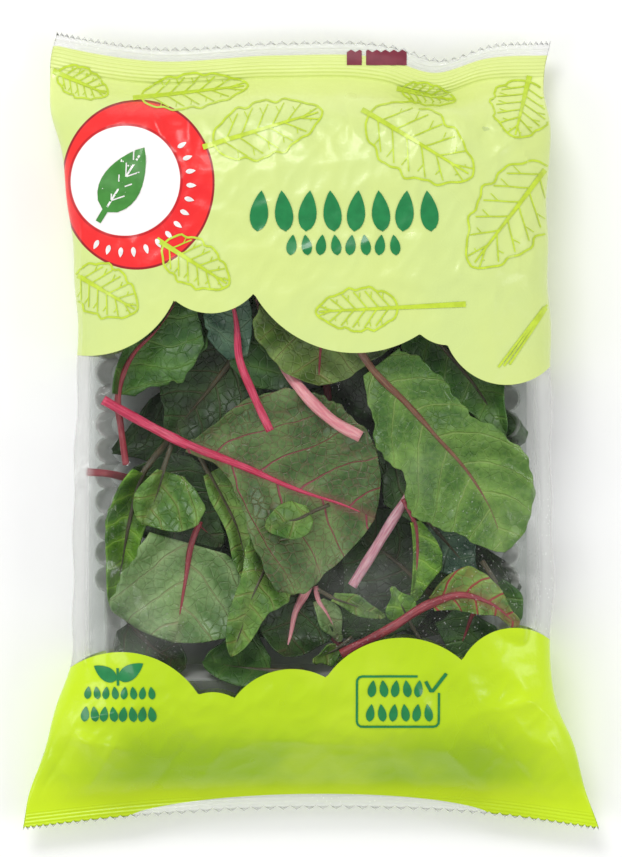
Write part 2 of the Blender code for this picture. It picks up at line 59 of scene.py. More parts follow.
# %% Smooth curve and shaped grid
def curve(keys, at):
    """Smooth curve through (position, value) keys."""
    x = np.array([k[0] for k in keys], float)
    y = np.array([k[1] for k in keys], float)
    slope = np.gradient(y, x)
    at = np.clip(np.asarray(at, float), x[0], x[-1])
    i = np.clip(np.searchsorted(x, at, side="right") - 1, 0, len(x) - 2)
    width = x[i + 1] - x[i]
    t = (at - x[i]) / width
    rise = t * t * (3 - 2 * t)
    value = y[i] + (y[i + 1] - y[i]) * rise
    return value + (slope[i] * t * (1 - t) ** 2 + slope[i + 1] * t * t * (t - 1)) * width


def smoothstep(low, high, value):
    t = np.clip((np.asarray(value, float) - low) / (high - low), 0, 1)
    return t * t * (3 - 2 * t)


def blur(grid, times):
    """Even out a grid of values, keeping its border rows in place."""
    for _ in range(times):
        for axis in (0, 1):
            grid = np.moveaxis(grid, axis, 0).copy()
            grid[1:-1] = (grid[:-2] + 2 * grid[1:-1] + grid[2:]) / 4
            grid = np.moveaxis(grid, 0, axis)
    return grid


def deselect_all():
    bpy.ops.object.select_all(action="DESELECT")


def shaped_grid(name, points, wrap=False, capped=False, marks=None):
    """A grid primitive whose vertices are moved to points, an array of rows x columns x 3 in mm."""
    rows, cols = points.shape[:2]
    deselect_all()
    bpy.ops.mesh.primitive_grid_add(x_subdivisions=cols - 1, y_subdivisions=rows - 1, size=1)
    obj = bpy.context.object
    obj.name = obj.data.name = name
    obj.data.vertices.foreach_set("co", (points * MM).astype(np.float32).ravel())
    if marks is not None:
        layer = obj.data.attributes.new("marks", "FLOAT_VECTOR", "POINT")
        layer.data.foreach_set("vector", marks.astype(np.float32).ravel())
    if wrap:
        bpy.ops.object.mode_set(mode="EDIT")
        bpy.ops.mesh.select_all(action="SELECT")
        bpy.ops.mesh.remove_doubles(threshold=1e-6)
        if capped:
            bpy.ops.mesh.select_all(action="SELECT")
            bpy.ops.mesh.fill_holes(sides=0)
        bpy.ops.mesh.select_all(action="SELECT")
        bpy.ops.mesh.normals_make_consistent(inside=False)
        bpy.ops.object.mode_set(mode="OBJECT")
    obj.location = (0, 0, 0)
    bpy.ops.object.shade_smooth()
    return obj


def wall(obj, thickness, offset=-1.0):
    """Give a sheet its thickness (mm), measured down from the sheet."""
    solid = obj.modifiers.new("wall", "SOLIDIFY")
    solid.thickness = thickness * MM
    solid.offset = offset
    bpy.context.view_layer.objects.active = obj
    bpy.ops.object.modifier_apply(modifier=solid.name)


def joined(name, parts):
    deselect_all()
    for part in parts:
        part.select_set(True)
    bpy.context.view_layer.objects.active = parts[0]
    bpy.ops.object.join()
    parts[0].name = parts[0].data.name = name
    return parts[0]


# %% [markdown]
# ## Camera, light and floor
# The camera looks straight down at a white table. A long lens far away keeps the bag's sides
# straight. The light is a bright white room with one large soft box behind the top seal and a
# narrower one on either side, so that slopes which face the bottom seal are a little darker.
# %% Camera
VIEW_HEIGHT = 304.2          # mm of the table that the picture's long side takes in
VIEW_PLANE = 25.0            # height at which that scale holds
CAMERA_DISTANCE = 2200.0
CAMERA_CENTRE = (0.4, 0.9)

camera_data = bpy.data.cameras.new("camera")
camera = bpy.data.objects.new("camera", camera_data)
bpy.context.scene.collection.objects.link(camera)
camera.location = Vector((*CAMERA_CENTRE, CAMERA_DISTANCE)) * MM
camera_data.sensor_width = 36.0
camera_data.lens = 36.0 * (CAMERA_DISTANCE - VIEW_PLANE) / VIEW_HEIGHT
camera_data.clip_start = 0.1
camera_data.clip_end = 20.0
bpy.context.scene.camera = camera
print("lens mm:", round(camera_data.lens, 1))


# %% Lights, world and colour handling
def soft_box(name, place, size, power):
    data = bpy.data.lights.new(name, "AREA")
    data.shape = "RECTANGLE"
    data.size, data.size_y = size
    data.energy = power
    lamp = bpy.data.objects.new(name, data)
    bpy.context.scene.collection.objects.link(lamp)
    lamp.location = place
    lamp.rotation_euler = (-Vector(place)).to_track_quat("-Z", "Y").to_euler()
    return lamp


soft_box("key", (-0.4, 1.1, 1.3), (0.8, 0.5), 11.5)
soft_box("left fill", (-1.25, -0.5, 1.0), (0.4, 1.0), 5.5)
soft_box("right fill", (1.25, -0.4, 1.0), (0.4, 1.0), 5.5)
scene = bpy.context.scene
scene.world = bpy.data.worlds.new("white room")
scene.world.use_nodes = True
background = scene.world.node_tree.nodes["Background"]
background.inputs["Color"].default_value = (1.0, 1.0, 1.0, 1.0)
background.inputs["Strength"].default_value = 0.6
scene.view_settings.view_transform = "Standard"
scene.view_settings.look = "None"


# %% [markdown]
# ## Materials by a small helper
# Every finish here is built from nodes. This helper keeps that short: it adds a node, links or sets
# its inputs by name, and returns it. Colours are written as the 0 to 255 values that a person reads
# off a screen, and turned into linear light.
# %% Node helper
def srgb(red, green, blue):
    def linear(c):
        c /= 255
        return c / 12.92 if c <= 0.04045 else ((c + 0.055) / 1.055) ** 2.4
    return (linear(red), linear(green), linear(blue), 1.0)


class Finish:
    """A node material under construction."""

    def __init__(self, name):
        self.material = bpy.data.materials.new(name)
        self.material.use_nodes = True
        self.tree = self.material.node_tree
        self.tree.nodes.clear()
        self.out = self.tree.nodes.new("ShaderNodeOutputMaterial")

    def set(self, socket, value):
        if isinstance(value, bpy.types.NodeSocket):
            self.tree.links.new(value, socket)
        else:
            socket.default_value = value

    def add(self, kind, inputs=(), **settings):
        node = self.tree.nodes.new("ShaderNode" + kind)
        for key, value in settings.items():
            setattr(node, key, value)
        for key, value in dict(inputs).items():
            self.set(node.inputs[key], value)
        return node

    def math(self, operation, a, b=0.0, clamp=False):
        node = self.add("Math", {0: a, 1: b}, operation=operation, use_clamp=clamp)
        return node.outputs[0]

    def ramp(self, value, low, high, start=0.0, end=1.0):
        """Smooth change from start to end as value goes from low to high."""
        inputs = {"Value": value, "From Min": low, "From Max": high, "To Min": start, "To Max": end}
        return self.add("MapRange", inputs, interpolation_type="SMOOTHSTEP").outputs[0]

    def mix(self, factor, a, b):
        node = self.add("Mix", data_type="RGBA")
        for key, value in ((0, factor), (6, a), (7, b)):
            self.set(node.inputs[key], value)
        return node.outputs[2]

    def noise(self, vector, scale, detail=3.0, roughness=0.55):
        inputs = {"Vector": vector, "Scale": scale, "Detail": detail, "Roughness": roughness}
        return self.add("TexNoise", inputs).outputs["Fac"]

    def place(self):
        return self.add("TexCoord").outputs["Object"]

    def marks(self):
        """The three numbers that a piece's vertices carry."""
        split = self.add("SeparateXYZ", {0: self.add("Attribute", attribute_name="marks").outputs["Vector"]})
        return split.outputs[0], split.outputs[1], split.outputs[2]

    def bump(self, height, distance, strength=1.0):
        inputs = {"Height": height, "Distance": distance, "Strength": strength}
        return self.add("Bump", inputs).outputs["Normal"]

    def done(self, shader):
        self.tree.links.new(shader, self.out.inputs["Surface"])
        return self.material


# %% Floor
def floor_finish():
    f = Finish("white table")
    tone = f.ramp(f.noise(f.place(), 3.0), 0.3, 0.7, 0.97, 0.99)
    colour = f.add("CombineColor", {0: tone, 1: tone, 2: tone}).outputs[0]
    return f.done(f.add("BsdfDiffuse", {"Color": colour}).outputs[0])


bpy.ops.mesh.primitive_plane_add(size=6, location=(0, 0, -0.0005))
floor = bpy.context.object
floor.name = "floor"
floor.data.materials.append(floor_finish())


# %% [markdown]
# ## The leaves: where each one lies
# A chard leaf is a petiole that runs on as the midrib of a blade. Each row of this table is one
# leaf: its spine in mm from the cut end of the petiole to the tip, the number of spine points before
# the blade starts, and the blade's half-widths to the left and right, evenly spaced along it. Some
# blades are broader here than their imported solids, to close the gaps between them. A table is clearer
# than forty hand-placed meshes, and one recipe can then make every leaf.


# %% Leaf table
@dataclass
class Leaf:
    name: str
    look: str                # colouring of the blade
    rib: str                 # colouring of the petiole and midrib
    spine: list
    stem: int
    left: list
    right: list
    stalk: float             # diameter of the petiole
    ruffle: float = 0.5      # height of the waves along the margin
    lift: float = 0.0        # how far the cut end rides up on the leaves beside it


BED = [
    Leaf("bed_01", "shade", "dark", [(-60, 92), (-48, 78), (-36, 58), (-30, 38)], 1,
         [8, 20, 22, 12], [8, 20, 22, 12], 3),
    Leaf("bed_02", "deep", "pink", [(4, 96), (6, 82), (8, 60), (6, 38)], 1,
         [8, 22, 24, 12], [8, 20, 24, 12], 3),
    Leaf("bed_03", "shade", "dark", [(58, 90), (50, 74), (42, 54), (40, 36)], 1,
         [8, 18, 22, 12], [8, 20, 20, 12], 3),
    Leaf("bed_04", "shade", "ruby", [(-60, 30), (-48, 18), (-40, 0), (-38, -22)], 1,
         [8, 20, 24, 12], [8, 18, 22, 12], 3),
    Leaf("bed_05", "deep", "dark", [(58, 34), (50, 18), (46, -2), (46, -24)], 1,
         [8, 20, 20, 12], [8, 20, 24, 12], 3),
    Leaf("bed_06", "shade", "ruby", [(2, 30), (6, 16), (6, -4), (2, -26)], 1,
         [8, 20, 24, 12], [8, 20, 24, 12], 3),
    Leaf("bed_07", "deep", "pink", [(-56, -20), (-48, -34), (-42, -54), (-42, -74)], 1,
         [8, 20, 22, 12], [8, 16, 20, 12], 3),
    Leaf("bed_08", "shade", "ruby", [(52, -18), (46, -34), (42, -54), (40, -74)], 1,
         [8, 20, 22, 12], [8, 20, 22, 12], 3),
    Leaf("bed_09", "shade", "dark", [(0, -22), (2, -36), (0, -56), (-2, -76)], 1,
         [8, 20, 24, 12], [8, 20, 24, 12], 3),
    Leaf("bed_10", "deep", "pink", [(-58, 60), (-44, 66), (-24, 74), (-2, 78)], 1,
         [8, 20, 22, 12], [8, 20, 22, 12], 3),
    Leaf("bed_11", "plain", "ruby", [(62, 62), (48, 66), (30, 74), (10, 78)], 1,
         [8, 18, 20, 12], [8, 18, 22, 12], 3),
    Leaf("bed_12", "shade", "ruby", [(14, -80), (2, -66), (-12, -46), (-26, -28)], 1,
         [8, 20, 22, 12], [8, 20, 22, 12], 3),
    Leaf("bed_13", "shade", "dark", [(62, -70), (46, -60), (30, -46), (14, -34)], 1,
         [8, 20, 22, 12], [8, 18, 22, 12], 3),
    Leaf("bed_14", "shade", "dark", [(-10, 44), (8, 42), (28, 38), (50, 32)], 1,
         [8, 18, 22, 12], [8, 20, 24, 12], 3),
]

UPPER = [
    Leaf("bottom_left", "shade", "dark", [(-68, -60), (-64, -68), (-56, -77), (-44, -84)], 1,
         [4, 8, 9, 5], [4, 8, 9, 5], 2.5),
    Leaf("bottom_mid", "deep", "dark", [(-2, -85), (-14, -85), (-26, -84), (-38, -82)], 1,
         [3, 4, 4, 3], [3, 9, 12, 6], 2.5),
    Leaf("dark_mid", "shade", "dark", [(-17, 40), (-25, 29), (-34, 17), (-44, 5), (-50, -3)], 1,
         [4, 12, 15, 13, 7], [4, 12, 15, 13, 6], 3),
    Leaf("stub_left", "shade", "ruby",
         [(-79, -14.5), (-72, -15), (-64, -17), (-53, -22), (-41, -32), (-31, -41)], 2,
         [3, 9, 12, 10, 5], [3, 9, 11, 9, 4], 3),
    Leaf("back_right", "plain", "dark", [(27, 56), (36, 44), (48, 29), (60, 14), (69, -2)], 1,
         [6, 13, 16, 13, 6], [6, 13, 14, 11, 6], 3),
    Leaf("upper_left", "plain", "dark", [(-31, 64), (-37, 52), (-42, 40), (-48, 29), (-53, 20)], 1,
         [4, 7, 9, 9, 4], [3, 6, 7, 7, 4], 2.5, 1.0),
    Leaf("top_left", "plain", "ruby",
         [(-65, -12), (-67, 1), (-68, 13), (-66, 21), (-62, 28), (-53, 37), (-47, 47), (-43, 55)], 2,
         [2, 3, 4, 4, 4, 3], [6, 13, 18, 19, 15, 8], 2.6, 0.8),
    Leaf("stem_pink", "deep", "salmon",
         [(18, -2), (9, 3), (2, 9), (-5, 17), (-12, 28), (-17, 40), (-20, 50)], 3,
         [3, 9, 11, 10, 7], [3, 9, 10, 9, 6], 4.6, 0.5, 8.0),
    Leaf("stub_pink", "shade", "salmon",
         [(3, -45), (1, -51), (-2, -58), (-5, -64), (-7, -73), (-9, -80)], 2,
         [4, 6, 9, 10, 6], [4, 8, 9, 9, 6], 3.6, 0.5, 5.0),
    Leaf("low_mid", "painted_glare", "salmon", [(2, -55), (3, -60), (6, -65), (8, -69), (11, -75)], 1,
         [2, 4, 5, 4, 2], [2, 3, 4, 4, 2], 2),
    Leaf("blue_dark", "blue", "dark", [(38, -27), (43, -33), (48, -39), (54, -46), (59, -52)], 1,
         [4, 7, 9, 8, 4], [4, 8, 10, 9, 5], 2),
    Leaf("right_lobe", "plain", "dark", [(61, -46), (66, -54), (70, -61), (74, -68)], 1,
         [3, 5, 6, 4], [2, 4, 5, 3], 2),
    Leaf("low_right", "deep", "ruby", [(62, -59), (58, -65), (55, -73), (52, -80)], 1,
         [6, 8, 9, 5], [4, 6, 8, 5], 2),
    Leaf("stem_right", "shade", "pink",
         [(15, -55), (23, -42), (31, -29), (39, -17), (48, -5), (55, 4)], 2,
         [4, 8, 10, 9, 6], [4, 9, 10, 9, 6], 4),
    Leaf("narrow_fold", "bright", "ruby", [(33, -24), (37, -32), (38, -40), (38, -50), (37, -61)], 1,
         [2, 6, 9, 8, 4], [1, 1.5, 1.5, 1.5, 1], 2, 0.3),
    Leaf("left_roll", "bright", "dark", [(-50, -3), (-59, -15), (-64, -32), (-67, -48), (-70, -63)], 1,
         [4, 7, 6, 5, 3], [4, 7, 8, 6, 4], 2.5, 0.8),
    Leaf("lower_left", "painted_glare", "ruby", [(-39, -32), (-42, -40), (-44, -52), (-46, -64), (-48, -75)], 1,
         [13, 19, 21, 22, 21], [15, 19, 22, 24, 23], 2.5),
    Leaf("left_fold", "fresh", "dark", [(-48, -2), (-52, -14), (-55, -24), (-59, -33)], 1,
         [8, 15, 18, 16], [2, 5, 7, 6], 2),
    Leaf("mid_fold", "fresh", "dark",
         [(-40, -7), (-36, -15), (-31, -24), (-26, -34), (-23, -47), (-20, -61)], 1,
         [11, 15, 14, 9, 6, 4], [2, 4, 4, 4, 4, 2], 2, 0.5),
    Leaf("diagonal", "fresh", "dark",
         [(-5, -24), (-10, -32), (-15, -46), (-21, -60), (-25, -72), (-28, -80)], 1,
         [11, 15, 14, 12, 7, 5], [9, 9, 8, 6, 6, 5], 2.5, 0.6),
    Leaf("stem_thin", "blue", "magenta",
         [(-14, 0), (-20, 13), (-25, 26), (-26, 38), (-29, 52), (-31, 60)], 2,
         [4, 10, 11, 9, 6], [3, 5, 6, 6, 4], 3.2, 0.5, 8.0),
    Leaf("centre", "magenta", "magenta",
         [(-73, 11), (-57, 2), (-43, -5), (-25, -12), (-4, -21), (14, -27), (23, -31)], 2,
         [1, 20, 31, 34, 33, 26], [1, 3, 11, 24, 36, 30], 3.8, 0.8),
    Leaf("small_round", "fresh", "dark", [(7, -26), (0, -29), (-4, -31), (-9, -32), (-16, -34)], 1,
         [3, 6, 7, 6, 4], [3, 6, 7, 6, 4], 1.6),
    Leaf("top_mid", "olive", "ruby", [(13, 74), (10, 62), (7, 47), (4, 31), (3, 16)], 1,
         [5, 15, 23, 25, 18], [5, 14, 21, 25, 18], 3.6, 1.0),
    Leaf("pale_strip", "fresh", "dark", [(3, -56), (8, -59), (14, -61), (21, -64), (27, -66)], 1,
         [2, 3, 4, 3, 2], [1, 2, 3, 3, 2], 1.5, 0.2),
    Leaf("bright_tip", "bright", "dark", [(39, -74), (35, -67), (32, -61), (29, -55)], 1,
         [3, 6, 6, 2], [3, 5, 5, 2], 1.5, 0.2),
    Leaf("low_tip", "fresh", "dark", [(15, -73), (10, -77), (6, -79), (1, -82)], 1,
         [2, 4, 5, 2], [2, 3, 2, 1], 1.5, 0.2),
    Leaf("lower_right", "ruby", "ruby",
         [(11, -79), (28, -70), (43, -61), (54, -58), (64, -61), (74, -69)], 2,
         [2, 7, 10, 7, 3], [3, 5, 6, 5, 2], 3.6),
    Leaf("right_top", "spring", "brown",
         [(15, 33), (22, 22), (34, 10), (45, -2), (57, -16), (65, -30), (69, -43)], 1,
         [12, 15, 15, 14, 18, 20, 14], [4, 12, 19, 18, 25, 22, 14], 3, 0.6),
]
print("leaves in the table:", len(BED) + len(UPPER))

# %% [markdown]
# ## Leaf finishes
# A blade is darker between its veins and lighter along them. The vertices carry three marks: the
# distance along the leaf, the distance from the midrib, and a number of the leaf's own. From the
# first two, the shader draws side veins that slant off the midrib and bend to the tip, and a net of
# finer veins between them. Patterns that follow the leaf this way look grown, where noise in space
# would look printed on.


# %% Blade finish
def blade_finish(name, dark, light, vein, strength=0.6, pitch=8.5, glow=0.45, gloss=0.4):
    f = Finish("blade " + name)
    along, across, seed = f.marks()
    reach = f.math("ABSOLUTE", across)
    drift = f.math("MULTIPLY", f.math("SUBTRACT", f.noise(f.place(), 70.0, 2.0), 0.5), 5.0)
    slant = f.math("MULTIPLY", reach, f.ramp(reach, 0.0, 22.0, 0.55, 1.0))
    other = f.math("MULTIPLY", f.math("GREATER_THAN", across, 0.0), 0.45 * pitch)
    run = f.math("ADD", f.math("SUBTRACT", along, slant), f.math("ADD", other, drift))
    gap = f.math("MULTIPLY", f.math("PINGPONG", f.math("DIVIDE", run, pitch), 0.5), pitch)
    gap = f.math("ADD", gap, f.math("MULTIPLY", reach, 0.012))
    side_vein = f.ramp(gap, 0.15, 0.75, 1.0, 0.0)
    glow_band = f.ramp(gap, 0.0, 0.36 * pitch, 1.0, 0.0)
    net_place = f.add("CombineXYZ", {0: along, 1: across, 2: seed}).outputs[0]
    net = f.add("TexVoronoi", {"Vector": net_place, "Scale": 0.34}, feature="DISTANCE_TO_EDGE")
    fine = f.add("TexVoronoi", {"Vector": net_place, "Scale": 0.95}, feature="DISTANCE_TO_EDGE")
    net_line = f.ramp(net.outputs["Distance"], 0.0, 0.1, 1.0, 0.0)
    fine_line = f.ramp(fine.outputs["Distance"], 0.0, 0.14, 1.0, 0.0)
    patch = f.ramp(f.noise(f.place(), 55.0, 4.0), 0.35, 0.68)
    speck = f.ramp(f.noise(f.place(), 700.0, 2.0), 0.3, 0.7, -0.12, 0.12)
    tone = f.math("ADD", f.math("ADD", f.math("MULTIPLY", patch, 0.6), speck),
                  f.math("MULTIPLY", glow_band, glow))
    colour = f.mix(f.math("ADD", tone, 0.0, clamp=True), srgb(*dark), srgb(*light))
    minor = f.math("MAXIMUM", f.math("MULTIPLY", net_line, 0.26), f.math("MULTIPLY", fine_line, 0.12))
    lines = f.math("MULTIPLY", f.math("MAXIMUM", side_vein, minor), strength)
    colour = f.mix(lines, colour, srgb(*vein))
    near = f.ramp(reach, 0.6, 3.5, 0.35 * strength, 0.0)
    colour = f.mix(near, colour, srgb(*vein))
    relief = f.math("SUBTRACT", f.math("MULTIPLY", f.noise(f.place(), 260.0, 3.0), 0.5),
                    f.math("MAXIMUM", side_vein, f.math("MULTIPLY", net_line, 0.5)))
    shader = f.add("BsdfPrincipled", {"Base Color": colour, "Normal": f.bump(relief, 0.0005, 0.7),
                                      "Roughness": f.ramp(patch, 0.0, 1.0, gloss - 0.06, gloss + 0.1),
                                      "Specular IOR Level": 0.42})
    return f.done(shader.outputs[0])


BLADES = {
    "magenta": blade_finish("magenta veined", (48, 84, 32), (114, 144, 80), (142, 36, 72), 0.85, 17.0, 0.3),
    "spring": blade_finish("spring green", (54, 98, 24), (126, 164, 72), (150, 168, 96), 0.4, 13.0, 0.3),
    "fresh": blade_finish("fresh green", (58, 104, 28), (124, 164, 72), (124, 88, 58), 0.35, 9.0),
    "bright": blade_finish("bright green", (40, 86, 4), (118, 170, 40), (150, 184, 76), 0.4, 8.0),
    "plain": blade_finish("mid green", (36, 80, 22), (86, 130, 50), (112, 138, 66), 0.35, 11.0),
    "olive": blade_finish("olive green", (62, 90, 30), (122, 148, 72), (130, 96, 60), 0.35, 12.0),
    "deep": blade_finish("deep green", (32, 70, 24), (72, 112, 46), (90, 114, 56), 0.35, 10.0),
    "shade": blade_finish("shaded green", (22, 48, 14), (54, 90, 36), (84, 40, 42), 0.35, 10.0),
    "blue": blade_finish("bluish green", (38, 72, 54), (90, 126, 96), (104, 122, 94), 0.35, 10.0),
    # painted glare: a paler, greyer green for leaves that lie under glare on the film
    "painted_glare": blade_finish("green paled by painted glare", (74, 114, 50), (142, 172, 112), (136, 100, 80), 0.4, 14.0),
    "ruby": blade_finish("ruby veined", (64, 108, 26), (134, 168, 72), (150, 30, 44), 0.95, 8.0),
}


# %% Petiole finish
def stalk_finish(name, edge, core, wet=0.3):
    """Petioles are ribbed lengthwise and shine softly, their two colours mixed in lengthwise streaks and
    blotches.
    """
    f = Finish("stalk " + name)
    along, around, seed = f.marks()
    stretch = f.add("CombineXYZ", {0: f.math("MULTIPLY", along, 0.05), 1: around, 2: seed}).outputs[0]
    stripes = f.noise(stretch, 3.2, 3.0)
    blotch = f.noise(f.place(), 160.0, 3.0)
    tone = f.math("MULTIPLY", f.ramp(stripes, 0.35, 0.65), f.ramp(blotch, 0.2, 0.75, 0.5, 1.0))
    colour = f.mix(tone, srgb(*edge), srgb(*core))
    shader = f.add("BsdfPrincipled", {"Base Color": colour, "Normal": f.bump(stripes, 0.0004, 0.6),
                                      "Roughness": f.ramp(blotch, 0.2, 0.8, wet, wet + 0.14),
                                      "Subsurface Weight": 0.15, "Subsurface Scale": 0.002})
    return f.done(shader.outputs[0])


STALKS = {
    "magenta": stalk_finish("magenta", (186, 36, 74), (226, 84, 118)),
    "pink": stalk_finish("pink", (186, 120, 138), (216, 178, 184)),
    "salmon": stalk_finish("salmon", (216, 128, 140), (238, 176, 178)),
    "ruby": stalk_finish("ruby", (128, 34, 48), (172, 70, 78)),
    "dark": stalk_finish("dark", (58, 58, 36), (92, 82, 56)),
    "brown": stalk_finish("brown red", (112, 66, 52), (140, 104, 78)),
}
print("leaf finishes:", len(BLADES) + len(STALKS))


# %% [markdown]
# ## Leaf shapes
# A blade starts as a grid along its spine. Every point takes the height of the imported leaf's
# underside, found with a ray from below. Points past the solid's edge take their neighbours' height,
# and all are then evened out. On top of that go the things that make a leaf look alive: a pucker
# between side veins, waves that grow towards the margin, and an outline with small uneven lobes.
# Solidify turns the sheet into a blade. The petiole is a grid wrapped into a tube that tapers along
# the blade as the midrib.


# %% Plan of a leaf
def spine_of(leaf, stops):
    spine = np.array(leaf.spine, float)
    along = np.concatenate([[0], np.cumsum(np.hypot(*np.diff(spine, axis=0).T))])
    stops = np.asarray(stops, float)
    xy, ahead, behind = (np.stack([curve(list(zip(along, spine[:, k])), stops + step) for k in (0, 1)], 1)
                         for step in (0.0, 0.6, -0.6))
    tangent = ahead - behind
    tangent /= np.linalg.norm(tangent, axis=1)[:, None]
    side = np.stack([-tangent[:, 1], tangent[:, 0]], 1)
    return xy, side, along[leaf.stem], along[-1]


SHADE_GROWTH = 1.45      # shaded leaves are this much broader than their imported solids


def blade_plan(leaf, rows, cols, seed):
    """Plan positions of a blade's grid, and each point's distance along and across it."""
    _, _, start, end = spine_of(leaf, [0.0])
    stops = np.linspace(start, end, rows)
    xy, side, _, _ = spine_of(leaf, stops)
    u = (stops - start) / (end - start)
    tip = np.sqrt(np.clip(1 - (np.maximum(u - 0.9, 0) / 0.1) ** 2, 0, 1))
    widths = []
    for k, values in enumerate((leaf.left, leaf.right)):
        keys = [(i / len(values), v) for i, v in enumerate(values)] + [(1.0, values[-1] * 0.35)]
        fuller = SHADE_GROWTH if leaf.look in ("shade", "deep") else 1.0
        width = np.maximum(curve(keys, u) * fuller, leaf.stalk / 2 + 0.6)
        lobes = 0.5 * np.sin(stops * 0.55 + seed * 3 + k) + 0.35 * np.sin(stops * 1.3 + seed * 7 + 2 * k)
        widths.append(np.maximum(width + lobes * smoothstep(4, 12, width), 0.6) * tip)
    f = np.linspace(-1, 1, cols)
    across = np.where(f > 0, f * widths[0][:, None], f * widths[1][:, None])
    plan = xy[:, None, :] + side[:, None, :] * across[:, :, None]
    return plan, np.repeat((stops - start)[:, None], cols, 1), across, f[None, :], u[:, None]


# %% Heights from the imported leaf
def lower_face(node):
    return BVHTree.FromObject(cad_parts[node], bpy.context.evaluated_depsgraph_get())


def cast_heights(tree, x, y, start, direction):
    """Height in mm of the first surface that a vertical ray meets at each point, or not a number."""
    out = np.full(x.shape, np.nan)
    for index in np.ndindex(x.shape):
        origin = Vector((x[index] * MM, y[index] * MM, start * MM))
        hit = tree.ray_cast(origin, Vector((0, 0, direction)))[0]
        if hit is not None:
            out[index] = hit.z / MM
    return out


def fill_gaps(grid):
    """Give points without a value the mean of their neighbours, from the known ones outwards."""
    grid = grid.copy()
    while np.isnan(grid).any():
        padded = np.pad(grid, 1, constant_values=np.nan)
        near = np.stack([padded[:-2, 1:-1], padded[2:, 1:-1], padded[1:-1, :-2], padded[1:-1, 2:]])
        known = ~np.isnan(near)
        mean = np.where(known, near, 0).sum(0) / np.maximum(known.sum(0), 1)
        grid = np.where(np.isnan(grid) & known.any(0), mean, grid)
    return grid


# %% One leaf
def make_leaf(leaf, number, step):
    seed = number * 0.618 % 1.0
    length = spine_of(leaf, [0.0])[3] - spine_of(leaf, [0.0])[2]
    rows = max(16, round(length / step))
    cols = 2 * max(5, round(max(max(leaf.left), max(leaf.right)) / step)) + 1
    plan, along, across, f, u = blade_plan(leaf, rows, cols, seed)
    tree = lower_face("leaf_" + leaf.name)
    inner = plan.mean(axis=1, keepdims=True) * 0.03 + plan * 0.97
    under = blur(fill_gaps(cast_heights(tree, inner[..., 0], inner[..., 1], -5, 1)), round(14 / step))
    slant = along - np.abs(across) * 0.8 + np.where(across > 0, 3.8, 0)
    pucker = 0.22 * np.cos(slant * 2 * math.pi / 8.5) * smoothstep(1, 5, np.abs(across))
    roll = 0.9 * np.sin(along * 0.16 + 6 * seed + across * 0.09) * smoothstep(2, 9, np.abs(across))
    edge = np.abs(f) ** 3 * smoothstep(3, 9, np.abs(across))
    wave = leaf.ruffle * edge * (1 + np.sin(along * 0.62 + 3 * seed + np.sign(f) + across * 0.05))
    stalk = leaf.stalk / 2
    rib = stalk * (1 - 0.82 * smoothstep(-0.1, 1.0, u))
    raised = 0.35 * rib * np.exp(-((across / (1.5 * rib + 0.5)) ** 2))
    blade_z = under + 0.55 + pucker + wave + roll + raised
    marks = np.stack([along, across, np.full(along.shape, seed * 50)], 2)
    blade = shaped_grid("leaf_" + leaf.name, np.dstack([plan, blade_z]), marks=marks)
    wall(blade, 0.4)
    blade.data.materials.append(BLADES[leaf.look])
    middle = cols // 2
    petiole = make_petiole(leaf, tree, np.stack([along[:, middle], under[:, middle]], 1), seed)
    whole = joined("leaf_" + leaf.name + "_visual", [blade, petiole])
    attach(whole, "root")
    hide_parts("leaf_" + leaf.name)
    return whole


def make_petiole(leaf, tree, blade_line, seed):
    """Tube along the spine: full width up to the blade, then tapering along most of it."""
    _, _, start, end = spine_of(leaf, [0.0])
    stops = np.concatenate([np.linspace(0, max(start, 0.1), max(2, round(start / 1.5)), endpoint=False),
                            np.linspace(start, start + (end - start) * 0.93, 34)])
    xy, side, _, _ = spine_of(leaf, stops)
    on_blade = np.interp(stops - start, blade_line[:, 0], blade_line[:, 1])
    free = cast_heights(tree, xy[:, 0], xy[:, 1], -5, 1)
    base = np.where(stops >= start, on_blade, np.where(np.isnan(free), on_blade, free))
    base = blur(np.stack([base, base], 1), 3)[:, 0]
    base = base + leaf.lift * (1 - smoothstep(start * 0.75, start * 1.35 + 0.1, stops))
    u = np.clip((stops - start) / (end - start), 0, 1)
    radius = leaf.stalk / 2 * (1 - 0.84 * smoothstep(-0.2, 1.1, u) ** 0.8)
    radius = radius * (1 + 0.05 * np.sin(stops * 0.4 + seed * 9))
    angle = np.linspace(0, 2 * math.pi, 13)
    out = radius[:, None] * np.cos(angle)
    up = base[:, None] + 0.5 + 0.8 * radius[:, None] + 0.8 * radius[:, None] * np.sin(angle)
    points = np.dstack([xy[:, 0:1] + side[:, 0:1] * out, xy[:, 1:2] + side[:, 1:2] * out, up])
    marks = np.dstack([np.repeat(stops[:, None], 13, 1), np.repeat(np.cos(angle)[None], len(stops), 0),
                       np.full((len(stops), 13), seed * 50)])
    tube = shaped_grid("petiole", points, wrap=True, capped=True, marks=marks)
    tube.data.materials.append(STALKS[leaf.rib])
    return tube


BED_STEP, UPPER_STEP = 2.2, 1.0          # spacing of the blades' grids, in mm
leaves = [make_leaf(leaf, k, BED_STEP) for k, leaf in enumerate(BED)]
leaves += [make_leaf(leaf, k + 20, UPPER_STEP) for k, leaf in enumerate(UPPER)]
print("leaves made:", len(leaves), "faces:", sum(len(o.data.polygons) for o in leaves))

# %% [markdown]
# ## The tray
# The tray is drawn from clear sheet over a mould: a turned flange, walls pressed into upright flutes
# along the two long sides, round corners and a flat floor. Its cross-section is the same idea all the
# way round, so it is made as one grid: each row is a height on the wall, and each column is a point
# of the outline. The floor's last row shrinks to one point, which closes it.
# %% Tray sizes
TRAY_CENTRE = np.array([-0.8, 7.0])
TRAY_HALF = np.array([77.3, 101.0])
TRAY_TOP = 30.0
FLANGE = 2.0
WALL_DRAFT = 4.4
CORNER_RADIUS = 13.0
FLUTES = 14
FLUTE_PITCH = 9.15
FLUTE_DEPTH = 3.6
FLUTE_STEPS = 10


